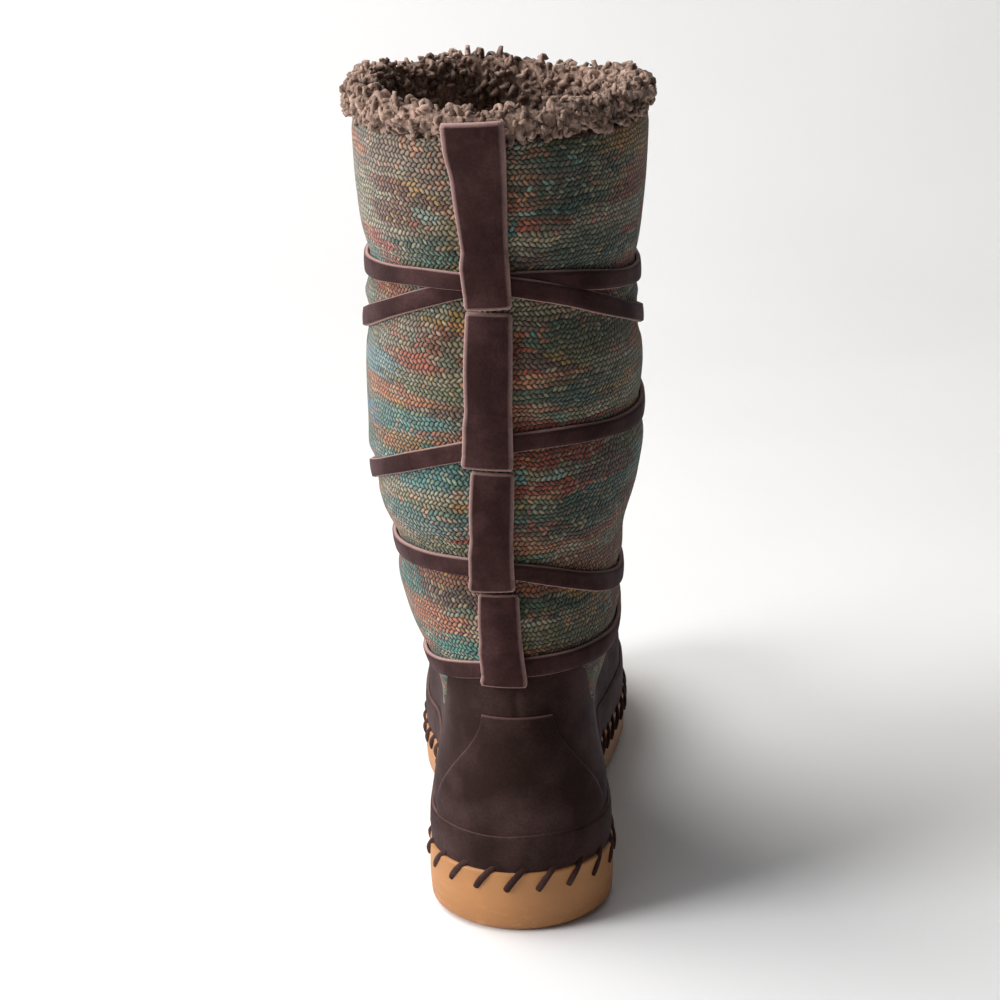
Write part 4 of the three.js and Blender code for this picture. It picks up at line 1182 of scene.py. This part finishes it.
class MUKLUK_OT_straps(BuildOperator):
    """Builds the wound straps, the loops that hold them behind and the keeper in front"""

    bl_idname = "mukluk.straps"
    bl_label = "Straps and loops"

    # Lift of a loop over one strap.
    clear = STRAP_SEAT + STRAP_THICKNESS + GAP
    # How far a strap and a loop bulge across and a strap's edge is thinner, and the depth, place and reach
    # of the groove at a loop's hem.
    strap_bulge, strap_thinner, loop_bulge = 0.25, 0.15, 0.35
    hem_depth, hem_place, hem_reach = 0.4, 5.2, 0.8
    # How far a loop stands off the cuff, the way up to it, and the rise of a loop's foot.
    cuff_clear, cuff_start, cuff_way, foot_rise = 0.8, 15, 14, 0.5

    def build(self):
        self.strap("wound_strap_long", LONG_STRAP, LONG_CROSSINGS, LONG_STEPS)
        self.strap("wound_strap_short", SHORT_STRAP, SHORT_CROSSINGS, 170)
        for number, sizes in enumerate(BACK_LOOPS, 1):
            self.loop(number, *sizes)
        self.keeper()

    def strap(self, name, route, crossings, count):
        phi, level, lift = strap_stops(route, crossings, count)
        # Its width wanders a little along it.
        turn = phi / TURN
        half = STRAP_WIDTH / 2 * (1 + 0.05 * np.sin(turn * 23.0) + 0.03 * np.sin(turn * 61.0))
        across = spread(5, 0.07)
        phi, level = band_grid(phi, level, half, across)
        low, cupped = lift[:, None], self.strap_bulge * np.sin(math.pi * across)[None, :]
        strap = shell_object(name, phi, level, low, low + STRAP_THICKNESS - self.strap_thinner + cupped,
                             "wound_suede")
        finish_piece(strap, "strap_suede", "wrap_straps")

    def loop(self, number, top, foot, strap, width, foot_width, drift, foot_drift):
        """One sewn loop. It lies on the upper and swells over its strap, and the top one over the cuff."""
        steps = spread(64, 0.008)
        foot_level = shaft_level(foot)
        level = shaft_level(top) + (foot_level - shaft_level(top)) * steps
        # How far the strap climbs across the loop's width widens the place where the loop swells.
        reach = width / 2 / (math.pi * CALF_WIDTH)
        ends = np.interp([4 - number - reach, 4 - number + reach], *route_points(LONG_STRAP, LONG_STEPS))
        near = np.maximum(0, np.abs(level - shaft_level(strap)) - abs(ends[1] - ends[0]) / 2)
        stack = self.clear + (CROSSING_LIFT if number == 1 else 0.0)
        tuck = smooth((level - foot_level - 1.0) / 4.0)
        over_cuff = smooth((level - COLLAR_HEIGHT + self.cuff_start) / self.cuff_way)
        over_cuff = (CUFF_OVERHANG + self.cuff_clear) * over_cuff
        lift = GAP + (stack - GAP) * over_strap(near) + over_cuff + self.foot_rise * (1 - tuck)
        # The leather's width wanders a little and its corners are rounded.
        tip = np.minimum(steps, 1 - steps) * (level[0] - level[-1])
        half = (width + (foot_width - width) * steps) / 2 * (1 - 0.02 * np.cos(steps * 9.0))
        half = half * (1 - 0.07 * np.exp(-((tip / 0.9) ** 2)))
        across = spread(14, 0.035)
        middle = drift + (foot_drift - drift) * steps
        phi, grid = band_grid(middle / back_pace(level), level, half, across)
        low, bowed = lift[:, None], self.loop_bulge * np.sin(math.pi * across)[None, :]
        beside = (np.abs(level - foot_level) - self.hem_place) / self.hem_reach
        hem = -self.hem_depth * np.exp(-(beside**2))[:, None]
        high = low + LOOP_THICKNESS + bowed
        loop = shell_object(f"strap_loop_{number}", phi, grid, low, high, "wound_suede", hem, paler=0.55)
        finish_piece(loop, "strap_suede", f"back_loop_{number}")

    def keeper(self):
        height, half = 34.0, 9.5
        middle = shaft_level(KEEPER_LIFT)
        level = middle + height * (0.5 - spread(40, 0.012))
        phi, grid = band_grid(math.pi + 0 * level, level, half, spread(10, 0.04))
        low = (GAP + (self.clear - GAP) * over_strap(np.abs(level - middle)))[:, None]
        keeper = shell_object("strap_keeper", phi, grid, low, low + LOOP_THICKNESS, "wound_suede")
        finish_piece(keeper, "strap_suede", "front_keeper")


class MUKLUK_OT_cuff(BuildOperator):
    """Builds the curly pile cuff"""

    bl_idname = "mukluk.cuff"
    bl_label = "Pile cuff"

    def build(self):
        pile = settings()[2]
        phi = np.linspace(0, TURN, 150, endpoint=False)
        turn = np.linspace(0, TURN, 22, endpoint=False)[:, None]
        edge = upper_point(phi, COLLAR_HEIGHT)
        flat = upper_frame(phi, COLLAR_HEIGHT + 0 * phi)[2] * np.array([1.0, 1.0, 0.0])
        flat /= np.linalg.norm(flat, axis=-1, keepdims=True)

        def lumps_at(wide, high):
            return [noise.noise(Vector((math.cos(a) * wide, math.sin(a) * wide, high))) for a in phi]

        lumps = np.array(lumps_at(3.2, 1.7))
        tufts = np.array([lumps_at(9, t) for t in turn[:, 0]])
        # The core is slimmer and lower than the cuff with its curls, and varies by its lumps.
        slimmer, lower, lumpy, seat = 2.6, 3.2, 2.4, 1.2
        thick = CUFF_THICKNESS - slimmer + lumpy * lumps
        # It slumps a little in front on the inner side, and its inside hangs down.
        slump_depth, slump_place, slump_reach, hang_depth = 4.5, 2.55, 0.55, 10.0
        slump = slump_depth * np.exp(-(((phi - slump_place) / slump_reach) ** 2))
        height = CUFF_HEIGHT - lower - np.cos(2 * phi) - slump + lumpy * np.roll(lumps, 19)
        hang = hang_depth * np.maximum(0, -np.cos(turn)) * (1 - np.sin(turn))
        out = CUFF_OVERHANG - CUFF_THICKNESS / 2 + np.cos(turn) * (thick / 2 + tufts)
        points = edge[None] + flat[None] * out[..., None]
        points[..., 2] += seat + (height / 2) * (1 + np.sin(turn)) + tufts * np.sin(turn) - hang
        roll = grid_object("cuff_roll", points, ["cuff_pile"])
        outward(roll)
        values = {"Spacing": pile.spacing, "Length": pile.length, "Material": bpy.data.materials["cuff_pile"]}
        finish_piece(finished(roll, curl_tree(), values, "pile_cuff"), "pile", "cuff")


class MUKLUK_OT_sole(BuildOperator):
    """Builds the cup sole with its tread, and the insole"""

    bl_idname = "mukluk.sole"
    bl_label = "Cup sole and insole"

    def build(self):
        phi = np.linspace(0, TURN, 420, endpoint=False)

        def row(inset, lift, share=0.0):
            """A ring of the sole, share of the way up its wall and lifted by millimetres from there."""
            x, y = sole_plan(phi, inset)
            low = tread_z(y)
            return np.stack([x, y, low + (rim_z(y) - low) * share + lift], axis=-1)

        # From the middle of the underside over its round edge, up the wall and over the rim to the recess.
        edge, wall_top, bulge = 4.6, 6.4, 0.4
        rows = [row(14.0, 0.0), row(9.0, 0.0)]
        for turn in np.linspace(0, math.pi / 2, 9):
            rows.append(row(edge * (1 - math.sin(turn)), edge * (1 - math.cos(turn))))
        for share in np.linspace(0.22, 0.8, 9)[1:]:
            rows.append(row(-bulge * math.sin(math.pi * share), edge - wall_top * share, share))
        for inset, lift in ((-0.15, -1.9), (-0.25, -1.2), (-0.1, -0.5), (0.35, -0.08), (1.0, 0.0), (2.0, 0.0),
                            (RIM_WIDTH, -0.2), (RIM_WIDTH, -1.5), (RIM_WIDTH, -RECESS), (9.0, -RECESS)):
            rows.append(row(inset, lift, 1.0))
        body = grid_object("cup_sole", np.array(rows), ["tan_rubber"], closed_up=False)
        outward(body, close=True)
        cutter = self.grooves()
        cut = body.modifiers.new("tread", "BOOLEAN")
        cut.object = cutter
        cut.solver = "EXACT"
        mesh = baked(body)
        body.modifiers.clear()
        body.data = mesh
        bpy.data.objects.remove(cutter)
        finish_piece(body, "sole_rubber", "outsole")

        wall_gap = 0.7
        side = RIM_WIDTH + GAP + WALL + wall_gap
        rows = [row(side + inset, lift - RECESS, 1.0) for inset, lift in (
            (12, 0.4), (0.4, 0.4), (0, 1.4), (0, 3.6), (0.8, 4.7), (2.4, 5.3), (8, 5.4))]
        bed = grid_object("footbed", np.array(rows), ["lining_pile"], closed_up=False)
        outward(bed, close=True)
        finish_piece(bed, "lining", "insole")

    def grooves(self):
        """Chevron grooves inside a plain border, each a closed bar under the sole."""
        pitch, width, chevron, depth, border, last = 13.0, 3.2, 9.0, 2.2, 9.0, 0.94
        work = bmesh.new()
        pattern = -(chevron + (pitch + width) / 2)
        y = pattern - pitch * math.floor((pattern - HEEL_BACK - border) / pitch)
        while share_of(y) < last:
            if not ARCH_START < share_of(y) < ARCH_START + ARCH_REACH:
                self.groove(work, y, width, chevron, depth, border)
            y += pitch
        mesh = bpy.data.meshes.new("grooves")
        work.to_mesh(mesh)
        work.free()
        return linked("grooves", mesh)

    def groove(self, work, y, width, chevron, depth, border):
        """One bar that stops at the border on both sides."""
        right, left = (
            float(np.interp(y + width / 2, *sole_plan(side * np.linspace(0, math.pi, 400), border)[::-1]))
            for side in (1, -1))
        least, below, half = 12, -0.002, BALL_WIDTH / 2
        if right - left < least:
            return
        spots = [(left, y + chevron * (1 - min(1, -left / half))), (0.0, y + chevron),
                 (right, y + chevron * (1 - min(1, right / half)))]
        outline = spots + [(x, v + width) for x, v in reversed(spots)]
        top = [work.verts.new((x * MM, v * MM, (float(tread_z(np.array(v))) + depth) * MM))
               for x, v in outline]
        low = [work.verts.new((x * MM, v * MM, below)) for x, v in outline]
        faces = [(top[0], top[1], top[4], top[5]), (top[1], top[2], top[3], top[4]),
                 (low[5], low[4], low[1], low[0]), (low[4], low[3], low[2], low[1])]
        for i in range(len(outline)):
            j = (i + 1) % len(outline)
            faces.append((low[i], low[j], top[j], top[i]))
        for face in faces:
            work.faces.new(face)


class MUKLUK_OT_lacing(BuildOperator):
    """Laces the sole's rim to the suede with a thong"""

    bl_idname = "mukluk.lacing"
    bl_label = "Sole lacing"

    def build(self):
        sole = settings()[3]
        count, inset = 600, 2.2
        x, y = sole_plan(np.linspace(0, TURN, count, endpoint=False), inset)
        points = np.stack([x, y, rim_z(y)], axis=-1) * MM
        mesh = bpy.data.meshes.new("lacing_path")
        mesh.from_pydata(points.tolist(), [(i, (i + 1) % count) for i in range(count)], [])
        path = linked("lacing_path", mesh)
        values = {
            "Count": sole.stitches, "Thickness": sole.thong, "Material": bpy.data.materials["thong_leather"],
        }
        finish_piece(finished(path, lacing_tree(), values, "thong_lacing"), "strap_suede")


# The camera, in metres, degrees and pixels of a 1000 pixel picture.
CAMERA_DISTANCE = 0.868
CAMERA_HEIGHT = 0.449
CAMERA_AZIMUTH = 1.57
CAMERA_YAW = 0.42
CAMERA_PITCH = 18.5
CAMERA_ROLL = -1.26
CAMERA_FOCAL = 2340.0
SENSOR_WIDTH = 36.0


class MUKLUK_OT_stage(BuildOperator):
    """Sets the pale floor, the soft lights and the camera"""

    bl_idname = "mukluk.stage"
    bl_label = "Stage"

    def build(self):
        # A floor that curves up into a back wall, in metres.
        half_width, start, bend, radius, top = 2.4, -1.6, 0.9, 0.5, 2.2
        curve = [(bend + radius * math.sin(a), radius - radius * math.cos(a))
                 for a in np.linspace(0.1, math.pi / 2, 14)]
        profile = [(start, 0.0), (bend, 0.0), *curve, (bend + radius, top)]
        points = np.array([[(-half_width, y, z), (half_width, y, z)] for y, z in profile]) / MM
        tree, shader = new_material("pale_floor", roughness=0.9, specular=0.2)
        tone = noise_value(tree, own_place(tree), 3.0)
        shades = ramp(tree, tone, [(0.3, linear("f1f0ee")), (0.7, linear("f6f5f4"))])
        fill(tree, shader.inputs, {"Base Color": shades})
        grid_object("studio_sweep", points, ["pale_floor"], closed_round=False, closed_up=False)
        # Soft light all round, more from the left than from the right.
        world = bpy.data.worlds.new("studio")
        world.use_nodes = True
        sky = world.node_tree
        way = node(sky, "ShaderNodeSeparateXYZ", {0: node(sky, "ShaderNodeTexCoord").outputs["Generated"]})
        power = remap(sky, way.outputs[0], -0.5, 0.35, 0.5, 0.02)
        fill(sky, sky.nodes["Background"].inputs, {0: (0.93, 0.95, 1.0, 1), 1: power})
        bpy.context.scene.world = world
        self.lamp("key_left", (-1.3, -0.5, 0.7), (0.0, 0.0, 0.16), 0.7, 20.0, (0.97, 0.98, 1.0))
        self.lamp("top_soft", (-0.9, 0.2, 1.6), (0.0, 0.0, 0.0), 1.4, 25.0, (1.0, 0.99, 0.97))
        self.camera()

    def lamp(self, name, place, aim, size, power, colour):
        data = bpy.data.lights.new(name, "AREA")
        data.shape = "DISK"
        data.size = size
        data.energy = power
        data.color = colour
        way = Vector(aim) - Vector(place)
        turned = way.to_track_quat("-Z", "Y").to_matrix().to_4x4()
        linked(name, data).matrix_world = Matrix.Translation(place) @ turned

    def camera(self):
        """The photograph's angle: from behind and a little to the inner side, with its tilt."""
        data = bpy.data.cameras.new("photo_view")
        data.sensor_width = SENSOR_WIDTH
        data.lens = CAMERA_FOCAL / 1000 * SENSOR_WIDTH
        data.clip_start = 0.05
        camera = linked("photo_view", data)
        turn = math.radians(CAMERA_AZIMUTH)
        place = Vector((CAMERA_DISTANCE * math.sin(turn), -CAMERA_DISTANCE * math.cos(turn), CAMERA_HEIGHT))
        yaw = math.radians(CAMERA_YAW) + turn
        pitch = math.radians(CAMERA_PITCH)
        look = Vector((-math.sin(yaw) * math.cos(pitch), math.cos(yaw) * math.cos(pitch), -math.sin(pitch)))
        roll = Matrix.Rotation(math.radians(CAMERA_ROLL), 4, "Z")
        matrix = look.to_track_quat("-Z", "Y").to_matrix().to_4x4() @ roll
        camera.matrix_world = Matrix.Translation(place) @ matrix
        bpy.context.scene.camera = camera
        bpy.context.scene.view_settings.view_transform = "Standard"


class MUKLUK_PT_panel(bpy.types.Panel):
    """Lists the boot's sizes, colours and build steps"""

    bl_idname = "MUKLUK_PT_panel"
    bl_label = "Mukluk boot"
    bl_space_type = "VIEW_3D"
    bl_region_type = "UI"
    bl_category = "Mukluk"

    def draw(self, context):
        for group in settings():
            box = self.layout.box()
            for key in group.__annotations__:
                box.prop(group, key)
        for step in STEPS:
            self.layout.operator(step.bl_idname)


GROUPS = {"mukluk_knit": KnitSettings, "mukluk_suede": SuedeSettings, "mukluk_pile": PileSettings,
          "mukluk_sole": SoleSettings}
STEPS = [MUKLUK_OT_materials, MUKLUK_OT_knit_shaft, MUKLUK_OT_suede_foot, MUKLUK_OT_rand_and_counter,
         MUKLUK_OT_straps, MUKLUK_OT_cuff, MUKLUK_OT_sole, MUKLUK_OT_lacing, MUKLUK_OT_stage]


def register():
    for key, group in GROUPS.items():
        bpy.utils.register_class(group)
        setattr(bpy.types.Scene, key, bpy.props.PointerProperty(type=group))
    for step in STEPS:
        bpy.utils.register_class(step)
    bpy.utils.register_class(MUKLUK_PT_panel)


def unregister():
    bpy.utils.unregister_class(MUKLUK_PT_panel)
    for step in reversed(STEPS):
        bpy.utils.unregister_class(step)
    for key, group in reversed(GROUPS.items()):
        delattr(bpy.types.Scene, key)
        bpy.utils.unregister_class(group)


def main():
    register()
    for step in STEPS:
        family, action = step.bl_idname.split(".")
        getattr(getattr(bpy.ops, family), action)()


if __name__ == "__main__":
    main()
